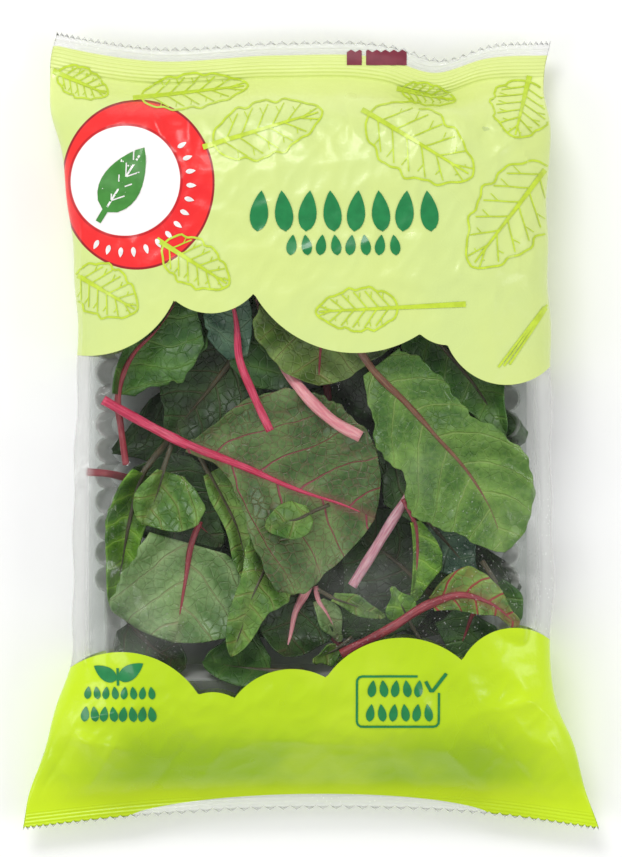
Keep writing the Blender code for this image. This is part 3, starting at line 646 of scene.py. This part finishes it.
def tray_outline():
    """Points of the wall's line, their outward directions and how far each stands out as a flute."""
    half = TRAY_HALF - FLANGE - FLUTE_DEPTH
    points, normals, bulges = [], [], []
    for turn, (sx, sy) in zip((0, 90, 180, 270), ((1, 1), (-1, 1), (-1, -1), (1, -1))):
        if turn in (0, 180):
            side = 1 if turn == 0 else -1
            for k in range(FLUTES * FLUTE_STEPS + 1):
                t = (k % FLUTE_STEPS) / FLUTE_STEPS
                points.append((side * half[0], side * (k / FLUTE_STEPS - FLUTES / 2) * FLUTE_PITCH))
                normals.append((side, 0))
                bulges.append(FLUTE_DEPTH * max(0.0, math.sin(math.pi * t)) ** 0.6)
        for k in range(11):
            angle = math.radians(turn + 9 * k)
            normal = (math.cos(angle), math.sin(angle))
            points.append([c * (h - CORNER_RADIUS) + CORNER_RADIUS * n
                           for c, h, n in zip((sx, sy), half, normal)])
            normals.append(normal)
            bulges.append(0.0)
    return np.array(points), np.array(normals), np.array(bulges)


def tray_points():
    outline, normals, bulges = tray_outline()
    floor_z = 1.0
    flat = FLANGE + FLUTE_DEPTH
    rows = [(-flat, TRAY_TOP - 1.6, 0), (-flat, TRAY_TOP - 0.3, 0), (-flat + 0.5, TRAY_TOP, 0),
            (-0.7, TRAY_TOP, 1), (-0.1, TRAY_TOP - 0.5, 1)]
    for t in np.linspace(0.06, 1, 9):
        rows.append((WALL_DRAFT * t, TRAY_TOP - (TRAY_TOP - floor_z - 3) * t, 1 - 0.12 * t))
    rows += [(WALL_DRAFT + 0.7, floor_z + 1.2, 0.75), (WALL_DRAFT + 2.2, floor_z, 0.4)]
    grid = []
    for inset, z, share in rows:
        plan = TRAY_CENTRE + outline + normals * (share * bulges - inset)[:, None]
        grid.append(np.column_stack([plan, np.full(len(plan), z)]))
    for scale in (0.93, 0.7, 0.35, 0.0):
        plan = TRAY_CENTRE + (grid[-1][:, :2] - TRAY_CENTRE) * scale if scale else \
            np.repeat(TRAY_CENTRE[None], len(outline), 0)
        grid.append(np.column_stack([plan, np.full(len(plan), floor_z + 0.25 * (1 - scale))]))
    grid = np.array(grid)
    return np.concatenate([grid, grid[:, :1]], axis=1)


# %% Clear plastic finish
def clear_plastic():
    """Clear sheet shows most where it is seen edge on, so the walls read grey and the floor clear. There a
    pale body is mixed in: its gloss is real, its pale colour painted reflection, and at the very silhouettes
    it turns dark grey, a painted dark edge.
    """
    f = Finish("clear tray plastic")
    facing = f.add("LayerWeight", {"Blend": 0.5}).outputs["Facing"]
    smear = f.noise(f.place(), 90.0, 3.0)
    pale = f.mix(smear, srgb(240, 237, 234), srgb(253, 253, 252))
    # painted shade: the colour turns dark grey at the silhouettes, as the dark edge lines of clear plastic
    tone = f.mix(f.ramp(facing, 0.972, 0.998), pale, srgb(96, 92, 90))
    body = f.add("BsdfPrincipled", {"Base Color": tone,
                                    "Roughness": f.ramp(smear, 0.3, 0.7, 0.08, 0.2),
                                    "Specular IOR Level": 0.9})
    clear = f.add("BsdfTransparent", {"Color": srgb(244, 246, 245)})
    # painted reflection: the pale body is mixed in more, the more edge-on the sheet is seen
    cover = f.ramp(facing, 0.3, 0.99, 0.05, 0.62)
    mixed = f.add("MixShader", {0: cover, 1: clear.outputs[0], 2: body.outputs[0]})
    return f.done(mixed.outputs[0])


tray = shaped_grid("tray_visual", tray_points(), wrap=True)
wall(tray, 0.5, 0.0)
tray.data.materials.append(clear_plastic())
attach(tray, "root")
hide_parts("tray")
print("tray faces:", len(tray.data.polygons))

# %% [markdown]
# ## The film bag
# A pillow bag is a tube of thin film, pressed flat and sealed at both ends. Its cross-section goes
# from a flat line at a seal to a full cushion over the tray. One wrapped grid gives the tube: the
# front columns run left to right and the back columns run back. The front is then lifted wherever a
# leaf or the tray's rim stands under it, and listed folds are added where the film gathers. A cloth
# simulation is the other way to do this. Direct shaping puts every fold where it is wanted.
# %% Bag outline and section
LEFT_EDGE = [(-138, -103), (-128, -100.5), (-117, -96), (-100, -90.5), (-81, -85.2), (-60, -84.5),
             (0, -83.2), (30, -82.8), (57, -83.4), (80, -85.6), (100, -88.8), (121, -93.4),
             (128, -93), (137.5, -90)]
RIGHT_EDGE = [(-138, 103), (-128, 100), (-113, 94.8), (-98, 88.5), (-85, 85.2), (-60, 86.3),
              (0, 85.8), (54, 84.8), (97, 84.8), (111, 85.4), (121, 83), (128, 83.4), (137.5, 86.3)]
FRONT_HEIGHT = [(-138, 10.3), (-132, 10.6), (-124, 18), (-115, 26), (-104, 33), (-92, 36.5),
                (-75, 39), (-40, 41), (20, 41.5), (70, 40), (96, 37), (107, 33.5), (112, 30),
                (118, 21), (122, 13), (124, 10.6), (137.5, 10.3)]
BACK_HEIGHT = [(-138, 9.7), (-132, 9.4), (-124, 4.5), (-115, 1.2), (-104, 0), (0, 0), (106, 0),
               (113, 0.6), (118, 3.6), (122, 7.6), (124, 9.4), (137.5, 9.7)]
TOP_EDGE_BOW = [(-1, 4.6), (-0.85, 2), (-0.6, -0.8), (-0.1, 1.2), (0.35, 0), (0.57, -5),
                (0.75, 0), (1, 1.3)]
BOTTOM_EDGE_BOW = [(-1, -4.1), (-0.6, 0.5), (0, 3.5), (0.6, 1.5), (1, -4.1)]
SEAL_TOP, SEAL_BOTTOM = 124.0, -132.0


def bag_section(y, s):
    """Plan and heights of the bag's front and back at stations y and places s across, -1 to 1."""
    left, right = curve(LEFT_EDGE, y), curve(RIGHT_EDGE, y)
    top, back = curve(FRONT_HEIGHT, y), np.maximum(0, curve(BACK_HEIGHT, y))
    x = (left + right)[:, None] / 2 + (right - left)[:, None] / 2 * s
    bow = smoothstep(112, 124, y)[:, None] * curve(TOP_EDGE_BOW, s)[None, :]
    bow = bow + (1 - smoothstep(-132, -104, y))[:, None] * curve(BOTTOM_EDGE_BOW, s)[None, :]
    full = smoothstep(1, 30, top - back)[:, None]
    middle = (top + back)[:, None] / 2 * (1 - full) + (back + 0.58 * (top - back))[:, None] * full
    power = 2.4 + 1.6 * full
    reach = np.abs(s)[None, :]
    front = middle + (top[:, None] - middle) * np.sqrt(np.maximum(0, 1 - reach ** power))
    squareness = np.sqrt(np.maximum(0, 1 - reach ** (power + 2.5))) * (1 + 0.5 * full)
    rear = middle - (middle - back[:, None]) * np.minimum(1, squareness)
    return x, y[:, None] + bow, front, rear


# %% What stands under the film
def heap_map(objects, step=1.0):
    """Highest point in each cell of a grid over the tray, from the pieces' own vertices."""
    cells = np.zeros((int(240 / step), int(200 / step)))
    for obj in objects:
        co = np.empty(len(obj.data.vertices) * 3, np.float32)
        obj.data.vertices.foreach_get("co", co)
        co = co.reshape(-1, 3) / MM
        iy = np.clip(((co[:, 1] + 110) / step).astype(int), 0, cells.shape[0] - 1)
        ix = np.clip(((co[:, 0] + 100) / step).astype(int), 0, cells.shape[1] - 1)
        np.maximum.at(cells, (iy, ix), co[:, 2])
    return cells


def widen(cells, reach):
    """Each cell takes the highest value within reach cells."""
    for axis in (0, 1):
        cells = np.max([np.roll(cells, k, axis) for k in range(-reach, reach + 1)], axis=0)
    return cells


def read_map(cells, x, y, step=1.0):
    fx = np.clip((x + 100) / step, 0, cells.shape[1] - 1.001)
    fy = np.clip((y + 110) / step, 0, cells.shape[0] - 1.001)
    ix, iy = fx.astype(int), fy.astype(int)
    tx, ty = fx - ix, fy - iy
    low = cells[iy, ix] * (1 - tx) + cells[iy, ix + 1] * tx
    high = cells[iy + 1, ix] * (1 - tx) + cells[iy + 1, ix + 1] * tx
    return low * (1 - ty) + high * ty


# %% Folds in the film
# Each fold: start, end, half-width and height, in mm. A negative height is a valley.
FOLDS = [
    ((-49, -8), (-29, -39), 2.4, 1.5), ((-24, -36), (-18.5, -54), 2.0, 1.3),
    ((9, 30), (9, 10), 1.8, 1.3), ((24, -60), (31, -74), 2.0, 1.3), ((60, -4), (72, -34), 2.0, 1.0),
    ((-66, -46), (-52, -70), 1.8, 0.9), ((-84, 108), (-55, 96), 2.2, 1.6),
    ((-60, 122), (-52, 104), 1.8, 1.2), ((-45, 123), (-42, 100), 1.6, 1.2),
    ((-30, 122), (-38, 96), 2.2, -1.0), ((-12, 122), (-4, 104), 1.6, 1.0),
    ((12, 122), (14, 100), 1.6, -0.9), ((30, 121), (26, 102), 1.6, 1.0),
    ((48, 118), (56, 98), 1.8, 1.0), ((66, 122), (60, 100), 2.0, -1.1), ((80, 112), (60, 92), 1.8, 1.2),
    ((84, 84), (70, 60), 1.8, 1.0), ((-86, 76), (-74, 52), 1.6, 0.8),
    ((-90, -108), (-60, -114), 3.4, 2.6), ((-98, -134), (-82, -104), 3.0, -2.2),
    ((-80, -130), (-66, -106), 3.6, 2.2), ((-58, -130), (-42, -108), 3.0, -1.6),
    ((-44, -131), (-30, -112), 2.8, 1.5), ((-14, -131), (-10, -112), 3.0, -1.3),
    ((14, -130), (8, -112), 2.6, 1.2), ((34, -130), (26, -108), 2.8, -1.2),
    ((44, -106), (62, -130), 3.6, 2.4), ((62, -102), (82, -130), 3.2, -1.9),
    ((84, -106), (97, -132), 3.0, 2.0), ((74, -92), (92, -106), 3.0, 2.2),
    ((56, -100), (86, -95), 2.6, 1.6), ((-84, -104), (-56, -96), 2.6, 1.4),
    ((-40, -108), (30, -112), 4.0, 1.3),
]


def fold_heights(x, y):
    total = np.zeros(x.shape)
    for start, end, half_width, height in FOLDS:
        a, b = np.array(start, float), np.array(end, float)
        along = ((x - a[0]) * (b - a)[0] + (y - a[1]) * (b - a)[1]) / ((b - a) @ (b - a))
        t = np.clip(along, 0, 1)
        away = np.hypot(x - a[0] - t * (b - a)[0], y - a[1] - t * (b - a)[1])
        total += height * np.exp(-away / half_width) * smoothstep(-0.1, 0.35, along) \
            * (1 - smoothstep(0.6, 1.15, along))
    return total


def crinkle(x, y, size, seed, directions=7):
    """Sharp-crested random waves about size mm across, between 0 and 1."""
    rng = np.random.default_rng(seed)
    total = np.zeros(x.shape)
    for _ in range(directions):
        angle, phase = rng.uniform(0, math.tau, 2)
        pitch = size * rng.uniform(0.7, 1.6)
        total += np.sin((x * math.cos(angle) + y * math.sin(angle)) * math.tau / pitch + phase)
    return 1 - np.minimum(1, np.abs(total) / math.sqrt(directions))


# %% Film tube
STEPS_ACROSS = 224       # columns of the front, and again of the back


def bag_grids():
    y = np.concatenate([np.linspace(-138, -132, 7), np.linspace(-131, -90, 40)[1:],
                        np.linspace(-90, 96, 128)[1:], np.linspace(96, 124, 30)[1:],
                        np.linspace(124, 137.5, 12)[1:]])
    turns = np.linspace(-math.pi / 2, math.pi / 2, STEPS_ACROSS + 1)
    s = 0.5 * np.sin(turns) + 0.5 * np.linspace(-1, 1, STEPS_ACROSS + 1)
    x, plan_y, front, rear = bag_section(y, s)
    open_part = smoothstep(-134, -124, y)[:, None] * (1 - smoothstep(118, 124.5, y))[:, None]
    rim = 1 - np.abs(s)[None, :] ** 12
    heap = widen(heap_map(leaves + [tray]), 2)
    heap = np.maximum(heap, blur(widen(heap, 3), 14) - 0.4)
    need = read_map(heap, x, plan_y) + 0.45
    over_tray = np.abs(plan_y - TRAY_CENTRE[1]) < TRAY_HALF[1] + 4
    front = np.where(over_tray & (np.abs(s)[None, :] < 0.995), np.maximum(front, need), front)
    printed = smoothstep(30, 60, plan_y) + 1 - smoothstep(-95, -70, plan_y)
    soft = crinkle(x, plan_y, 26, 3) * 0.8 + crinkle(x, plan_y, 11, 5) * 0.3
    folds = fold_heights(x, plan_y) + (soft - 0.5) * (0.45 + 0.9 * printed)
    front = front + folds * open_part * rim
    rear = rear - np.minimum(0, (crinkle(x, plan_y, 18, 9) - 1) * 0.5) * open_part * rim * 1.2
    return y, s, x, plan_y, front, rear


def bag_points():
    y, s, x, plan_y, front, rear = bag_grids()
    x = x + 0.35 * (np.sin(plan_y * 0.21) + np.sin(plan_y * 0.067)) * np.abs(s)[None, :] ** 6
    tooth = np.abs((np.arange(len(s)) % 4) - 2) - 1.0
    for row, reach in ((0, -0.75), (-1, 0.75)):
        plan_y[row] += reach * tooth
        front[row] = rear[row] = (front[row] + rear[row]) / 2
    back = np.arange(1, STEPS_ACROSS)[::-1]
    grids = [np.concatenate([g, h[:, back], g[:, :1]], 1)
             for g, h in ((x, x), (plan_y, plan_y), (front, rear))]
    return np.dstack(grids), y


# %% Where the print is
# The print leaves a window whose edges are scallops: circles that overlap in a row.
TOP_SCALLOPS = [((-78.1, 59.6), 33.0), ((-34.9, 61.3), 19.8), ((16.2, 68.7), 41.2),
                ((48.6, 44.4), 14.1), ((69.4, 38.8), 22.5)]
BOTTOM_SCALLOPS = [((-66.6, -110.3), 32.2), ((-34.2, -106.4), 14.2), ((-6.3, -109.2), 25.2),
                   ((32.4, -105.0), 32.1), ((72.3, -90.1), 20.6), ((102.2, -116.0), 31.7)]


def print_edge(x, y):
    """Distance from the print's edge in mm, negative on the print."""
    edge = np.minimum(50.0 - y, y + 109.0)
    for centre, radius in TOP_SCALLOPS + BOTTOM_SCALLOPS:
        edge = np.minimum(edge, np.hypot(x - centre[0], y - centre[1]) - radius)
    return edge


def badge_edge(x, y):
    """Distance-like value from the rim of the round badge: 0 on the rim, -1 at its centre."""
    return np.hypot((x + 61.0) / 27.5, (y - 87.4) / 30.6) - 1


def disc_edge(x, y):
    return np.hypot(x + 65.3, y - 88.5) - 19.4


film_points, stations = bag_points()
film = shaped_grid("film_bag_visual", film_points, wrap=True)
co = np.empty(len(film.data.vertices) * 3, np.float32)
film.data.vertices.foreach_get("co", co)
fx, fy, fz = co.reshape(-1, 3).T / MM
print("film vertices:", len(fx), "faces:", len(film.data.polygons))

# %% Marks on the film for its finish
def point_value(obj, name, values):
    layer = obj.data.attributes.new(name, "FLOAT", "POINT")
    layer.data.foreach_set("value", np.asarray(values, np.float32).ravel())


half_width = np.interp(fy, stations, (curve(RIGHT_EDGE, stations) - curve(LEFT_EDGE, stations)) / 2)
centre_x = np.interp(fy, stations, (curve(RIGHT_EDGE, stations) + curve(LEFT_EDGE, stations)) / 2)
tree = BVHTree.FromObject(film, bpy.context.evaluated_depsgraph_get())
tops = cast_heights(tree, fx, fy, 90, -1)
faces_up = np.isnan(tops) | (fz > 0.4 * tops)
point_value(film, "print_edge", print_edge(fx, fy))
point_value(film, "badge_edge", np.where(faces_up, badge_edge(fx, fy), 1.0))
point_value(film, "disc_edge", disc_edge(fx, fy))
point_value(film, "across", (fx - centre_x) / half_width)
s_now = np.clip((fx - centre_x) / half_width, -1, 1)
bow = smoothstep(112, 124, fy) * curve(TOP_EDGE_BOW, s_now)
bow += (1 - smoothstep(-132, -104, fy)) * curve(BOTTOM_EDGE_BOW, s_now)
point_value(film, "station", (fy - bow) * MM)


# %% [markdown]
# ## Film finish
# Clear film is nearly invisible head on, so its clear part is mixed from a transparent shader and a
# glossy one by how edge-on it is. It turns whitish where it curves away and along the bag's sides:
# painted reflection, from a white layer mixed in there. The print is opaque ink on the same film, pale
# yellow green above and lime below. The ink is painted lighter on the slope to the top seal and at the
# sides of the lower band, and painted darker on the slope to the bottom seal, where shade falls.
# The vertices carry their distance from the print's edge, so the edge stays crisp at any scale.


# %% Printed film
def film_finish():
    f = Finish("printed film")

    def mark(name):
        return f.add("Attribute", attribute_name=name).outputs["Fac"]
    place = f.add("SeparateXYZ", {0: f.place()}).outputs
    y = place[1]
    cloud = f.noise(f.place(), 28.0, 3.0)
    # ink colours along the bag, with painted light and shade on the slopes to the seals
    # painted light: the ink turns paler on the slope up to the top seal, where the light falls
    upper = f.mix(f.ramp(y, 0.108, 0.124), srgb(209, 226, 143), srgb(226, 239, 150))
    upper = f.mix(f.ramp(cloud, 0.3, 0.7, 0.0, 0.5), upper, srgb(216, 230, 132))
    # painted shade: a darker lime band on the slope down to the bottom seal, lighter again at the seal
    lower = f.mix(f.ramp(y, -0.117, -0.1), srgb(150, 188, 0), srgb(182, 216, 8))
    lower = f.mix(f.ramp(y, -0.13, -0.122, 1.0, 0.0), lower, srgb(188, 216, 0))
    lower = f.mix(f.ramp(cloud, 0.45, 0.75, 0.0, 0.4), lower, srgb(200, 226, 44))
    # painted light: the lower band turns brighter towards the bag's sides, where the side lamps fall
    lower = f.mix(f.ramp(f.math("ABSOLUTE", mark("across")), 0.6, 0.95, 0.0, 0.6), lower, srgb(212, 244, 20))
    ink = f.mix(f.math("GREATER_THAN", y, 0.0), lower, upper)
    # badge: red ring with a thin white line and a dark outline, white centre
    badge, disc = mark("badge_edge"), mark("disc_edge")
    red = f.mix(f.ramp(cloud, 0.3, 0.7), srgb(238, 34, 40), srgb(248, 44, 40))
    red = f.mix(f.ramp(badge, -0.035, -0.025, 0.0, 1.0), red, srgb(150, 12, 30))
    centre = f.mix(f.ramp(disc, 0.9, 1.2, 1.0, 0.0), red, srgb(198, 22, 30))
    centre = f.mix(f.ramp(disc, 0.0, 0.25, 1.0, 0.0), centre, srgb(250, 246, 244))
    ink = f.mix(f.ramp(badge, -0.006, 0.0, 1.0, 0.0), ink, centre)
    grain = f.noise(f.place(), 900.0, 3.0)
    ripple = f.noise(f.place(), 120.0, 3.0, 0.6)
    relief = f.math("ADD", f.math("MULTIPLY", ripple, 1.0), f.math("MULTIPLY", grain, 0.08))
    # crimp lines across both seals
    station = mark("station")
    seal = f.math("MAXIMUM", f.ramp(station, 0.1245, 0.1255), f.ramp(station, -0.1335, -0.132, 1.0, 0.0))
    crimp = f.math("MULTIPLY", f.math("SINE", f.math("MULTIPLY", station, math.tau / 0.0013)), 0.35)
    relief = f.math("ADD", relief, f.math("MULTIPLY", crimp, seal))
    normal = f.bump(relief, 0.0006, 0.55)
    printed = f.add("BsdfPrincipled", {"Base Color": ink, "Normal": normal, "Coat Weight": 0.1,
                                       "Roughness": f.ramp(cloud, 0.3, 0.7, 0.26, 0.38),
                                       "Specular IOR Level": 0.4})
    # clear film: its mirror grows towards the edges, the same from both sides of the film
    facing = f.add("LayerWeight", {"Blend": 0.5, "Normal": normal}).outputs["Facing"]
    # a white layer: condensation fog and droplets, the whiter seals, and painted reflection where the film
    # is seen edge on and along the bag's sides
    fog_and_painted_glare = f.add("BsdfPrincipled", {"Base Color": srgb(250, 250, 248), "Normal": normal,
                                    "Roughness": 0.2, "Specular IOR Level": 0.5})
    clear = f.add("BsdfTransparent", {"Color": srgb(251, 252, 251)})
    gloss = f.add("BsdfGlossy", {"Color": srgb(255, 255, 255), "Roughness": 0.09, "Normal": normal})
    sheen = f.math("MULTIPLY_ADD", f.math("POWER", facing, 4.0), 0.45)
    sheen.node.inputs[2].default_value = 0.013
    see = f.add("MixShader", {0: sheen, 1: clear.outputs[0], 2: gloss.outputs[0]})
    droplets = f.add("TexVoronoi", {"Vector": f.place(), "Scale": 620.0})
    beads = f.ramp(droplets.outputs["Distance"], 0.1, 0.2, 0.2, 0.0)
    wet = f.ramp(f.noise(f.place(), 16.0, 2.0), 0.5, 0.66)
    mist = f.ramp(f.noise(f.place(), 22.0, 3.0), 0.5, 0.8, 0.0, 0.07)
    # painted glare: white mixed in along the bag's sides, where the film curves down
    side_painted_glare = f.ramp(f.math("ABSOLUTE", mark("across")), 0.9, 0.965, 0.0, 0.38)
    # painted reflection: white mixed in where the film is seen edge on; the beads and mist are condensation
    cover = f.math("ADD", f.ramp(facing, 0.72, 1.0, 0.0, 0.3), f.math("MULTIPLY", beads, wet))
    cover = f.math("ADD", f.math("ADD", cover, mist), side_painted_glare)
    cover = f.math("ADD", cover, f.math("MULTIPLY", seal, 0.3), clamp=True)
    window = f.add("MixShader", {0: cover, 1: see.outputs[0], 2: fog_and_painted_glare.outputs[0]})
    # the print stops short of both seals
    edge = mark("print_edge")
    squared = f.math("POWER", f.math("ABSOLUTE", mark("across")), 2.0)
    ellipse = f.math("SUBTRACT", 1.0, f.math("MULTIPLY", squared, 2.6))
    arc = f.math("MULTIPLY", f.math("SQRT", f.math("MAXIMUM", ellipse, 0.0)), 0.0048)
    ends = f.math("MULTIPLY", f.ramp(station, 0.1329, 0.1331, 1.0, 0.0),
                  f.math("GREATER_THAN", f.math("SUBTRACT", station, arc), -0.1379))
    solid = f.math("MULTIPLY", f.ramp(edge, -0.1, 0.1, 1.0, 0.0), ends)
    both = f.add("MixShader", {0: solid, 1: window.outputs[0], 2: printed.outputs[0]})
    return f.done(both.outputs[0])


film.data.materials.append(film_finish())
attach(film, "root")
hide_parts("film_bag")
print("film finish:", film.data.materials[0].name)

# %% [markdown]
# ## Printed shapes
# The print's drawings are flat ink. Each one is a thin strip or patch laid on the film's own surface,
# with its points found by rays from above, so it follows every fold. Generic leaves, a sprout and a
# tick stand where a retail pack carries its name and claims.
# %% Laying ink on the film
INK_LIFT = 0.28


def on_film(points):
    """Points of the plan, raised onto the film; not a number where there is no film."""
    points = np.asarray(points, float)
    z = cast_heights(tree, points[..., 0], points[..., 1], 90, -1)
    return np.dstack([points, z + INK_LIFT]) if points.ndim == 3 else np.column_stack([points, z + INK_LIFT])


def densely(points, step=1.2):
    points = np.asarray(points, float)
    along = np.concatenate([[0], np.cumsum(np.hypot(*np.diff(points, axis=0).T))])
    stops = np.linspace(0, along[-1], max(3, round(along[-1] / step)))
    return np.stack([np.interp(stops, along, points[:, k]) for k in (0, 1)], 1)


def ribbon(points, width):
    """A strip along a line, as one or more grids; it breaks where it leaves the printed film."""
    line = densely(points)
    tangent = np.gradient(line, axis=0)
    tangent /= np.linalg.norm(tangent, axis=1)[:, None] + 1e-9
    side = np.stack([-tangent[:, 1], tangent[:, 0]], 1)
    taper = np.asarray(width) * np.ones(len(line)) / 2
    grid = on_film(np.stack([line + side * taper[:, None], line, line - side * taper[:, None]], 1))
    good = ~np.isnan(grid[..., 2]).any(1) & (print_edge(line[:, 0], line[:, 1]) < -0.3)
    good[1:] &= np.abs(np.diff(grid[:, 1, 2])) < 3
    pieces, run = [], []
    for k in list(range(len(line))) + [None]:
        if k is not None and good[k]:
            run.append(k)
        else:
            if len(run) > 1:
                pieces.append(shaped_grid("strip", grid[run]))
            run = []
    return pieces


def leaf_patch(centre, angle, length, width, stem=0.0):
    """A solid leaf shape: a patch that is widest below its middle, with a short stem."""
    t = np.linspace(0, 1, 12)
    half = width / 2 * np.sin(math.pi * t ** 0.75) ** 0.8
    across = np.linspace(1, -1, 5)
    along = (t - 0.5) * length
    axis = np.array([math.cos(math.radians(angle)), math.sin(math.radians(angle))])
    side = np.array([-axis[1], axis[0]])
    plan = np.array(centre) + along[:, None, None] * axis + (half[:, None] * across)[:, :, None] * side
    pieces = [shaped_grid("patch", on_film(plan))]
    if stem:
        foot = np.array(centre) - axis * length / 2
        pieces += ribbon([foot - axis * stem, foot + axis * 1.0], width * 0.14)
    return pieces


def ink(name, *colour):
    f = Finish(name)
    tone = f.ramp(f.noise(f.place(), 300.0, 3.0), 0.25, 0.75)
    deep = tuple(c * 0.9 for c in colour)
    shade = f.mix(tone, srgb(*deep), srgb(*colour))
    shader = f.add("BsdfPrincipled", {"Base Color": shade, "Coat Weight": 0.2,
                                      "Roughness": f.ramp(tone, 0.0, 1.0, 0.28, 0.36)})
    return f.done(shader.outputs[0])


def printed(name, pieces, material):
    piece = joined(name, pieces)
    piece.data.materials.clear()
    piece.data.materials.append(material)
    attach(piece, "root")
    return piece


# %% Leaf drawings
# Each drawing: base of the midrib, tip, half-width, and how far the stem runs on below the base.
DRAWINGS = [
    ((-34.0, 101.5), (4.5, 113.5), 10.0, 4.0), ((21.0, 112.5), (57.5, 90.0), 12.5, 3.0),
    ((78.0, 125.0), (72.5, 104.0), 11.0, 2.0), ((84.5, 94.0), (57.0, 58.0), 13.0, 2.0),
    ((-51.5, 66.0), (-28.5, 51.5), 8.0, 3.0), ((-83.0, 55.5), (-61.0, 42.5), 9.0, 3.0),
    ((31.0, 43.5), (2.0, 42.0), 7.5, 24.0), ((-60.0, 119.0), (-22.0, 123.5), 6.5, 3.0),
    ((-90.0, 128.0), (-72.0, 120.0), 5.5, 2.0), ((33.0, 122.0), (52.0, 118.0), 4.0, 2.0),
]


def leaf_drawing(base, tip, half, stem, number):
    base, tip = np.array(base), np.array(tip)
    length = np.linalg.norm(tip - base)
    axis = (tip - base) / length
    side = np.array([-axis[1], axis[0]])
    t = np.linspace(0, 1, 60)
    pieces = []
    for hand in (1, -1):
        wavy = 1 + 0.07 * np.sin(t * 26 + number + hand) + 0.04 * np.sin(t * 47 + 2 * number)
        reach = half * np.sin(math.pi * t ** 0.82) ** 0.6 * wavy
        pieces += ribbon(base + np.outer(t * length, axis) + hand * np.outer(reach, side), 0.75)
        for k in range(6):
            start = 0.08 + 0.14 * k + 0.03 * (hand > 0)
            end = min(start + 0.17, 0.97)
            out = half * math.sin(math.pi * end ** 0.82) ** 0.6 * 0.86
            bend = (start * 0.4 + end * 0.6, out * 0.6)
            vein = [(start, 0.0), ((start + bend[0]) / 2, out * 0.28), bend, (end, out)]
            pieces += ribbon([base + axis * a * length + hand * side * b for a, b in vein], 0.5)
            fork = [(bend[0], bend[1]), (bend[0] - 0.01, out * 0.95)]
            pieces += ribbon([base + axis * a * length + hand * side * b for a, b in fork], 0.35)
    line = base + np.outer(np.linspace(-stem / length, 0.96, 30), axis * length)
    pieces += ribbon(line, np.linspace(2.0, 0.6, len(densely(line))))
    return pieces


strips = []
for number, drawing in enumerate(DRAWINGS):
    strips += leaf_drawing(*drawing, number)
for k in range(3):
    strips += ribbon([(66.5 + 2.0 * k, 22.5 + 0.5 * k), (83.0 + 1.2 * k, 44.0 + 0.8 * k)], 0.8)
printed("print_leaf_drawings", strips, ink("lime ink", 202, 228, 52))

# %% Rows of small leaves, sprout, frame and tick
solids = []
for k in range(8):
    solids += leaf_patch((-17.8 + 8.55 * k, 77.6), 90 + (6 if k % 2 else -6), 14.6, 6.4)
for k in range(8):
    solids += leaf_patch((-6.4 + 5.2 * k, 65.6), 90 + (8 if k % 2 else -8), 7.4, 3.6)
for k in range(8):
    solids += leaf_patch((-78.6 + 3.25 * k, -92.6), 90 + (8 if k % 2 else -8), 4.6, 2.5)
for k in range(8):
    solids += leaf_patch((-79.6 + 3.4 * k, -100.2), 90 + (8 if k % 2 else -8), 5.6, 3.0)
solids += leaf_patch((-72.4, -85.6), 148, 9.5, 5.0) + leaf_patch((-63.2, -85.0), 34, 10.5, 5.4)
solids += ribbon([(-67.8, -90.0), (-67.9, -86.5), (-68.0, -83.8)], 0.9)
for k in range(5):
    solids += leaf_patch((22.0 + 4.1 * k, -91.0), 90 + (8 if k % 2 else -8), 6.2, 3.0)
for k in range(6):
    solids += leaf_patch((21.4 + 4.1 * k, -99.6), 90 + (8 if k % 2 else -8), 6.4, 3.0)


def rounded_frame(left, right, low, high, radius):
    points = []
    for turn, (cx, cy) in enumerate(((right - radius, high - radius), (left + radius, high - radius),
                                     (left + radius, low + radius), (right - radius, low + radius))):
        for step in range(7):
            angle = math.radians(90 * turn + 15 * step)
            points.append((cx + radius * math.cos(angle), cy + radius * math.sin(angle)))
    return points


box_line = rounded_frame(16.6, 45.6, -104.6, -86.6, 1.8)
solids += ribbon([(38.0, -86.6)] + box_line[7:] + [(45.6, -92.5)], 0.8)
solids += ribbon([(40.9, -88.4), (43.0, -92.4), (48.2, -85.6)], 1.2)
printed("print_green_shapes", solids, ink("green ink", 0, 132, 66))

# %% Badge leaf and seal mark
printed("print_badge_leaf", leaf_patch((-65.6, 88.8), 58, 27.0, 14.5, 4.0),
        ink("badge green ink", 62, 142, 48))
vein_strips = ribbon([(-71.6, 79.2), (-60.2, 97.4)], 0.7)
for k in range(4):
    foot = np.array([-70.2 + 2.6 * k, 81.4 + 4.2 * k])
    vein_strips += ribbon([foot, foot + (0.2, 5.0)], 0.45) + ribbon([foot, foot + (4.8, 1.6)], 0.45)
dots = []
for k in range(14):
    angle = math.radians(-118 + 11.5 * k)
    spot = (-64.8 + 23.0 * math.cos(angle), 88.0 + 25.0 * math.sin(angle))
    dots += leaf_patch(spot, math.degrees(angle), 3.6, 1.7)
printed("print_badge_lines", vein_strips + dots, ink("white ink", 250, 248, 246))


def seal_mark():
    """A block of ink across the top seal, cut into teeth where the seal is."""
    x = np.linspace(13.2, 34.6, 29)
    tooth = np.abs((np.arange(29) % 4) - 2) / 2
    top = 136.3 - 0.9 * tooth
    return np.stack([np.column_stack([x, 130.7 + (top - 130.7) * t]) for t in np.linspace(0, 1, 6)], 0)


mark_points = on_film(seal_mark())
mark_parts = [shaped_grid("mark", mark_points[:, :8]), shaped_grid("mark", mark_points[:, 9:])]
printed("print_seal_mark", mark_parts, ink("maroon ink", 128, 36, 58))
print("printed pieces:", len(strips) + len(solids))
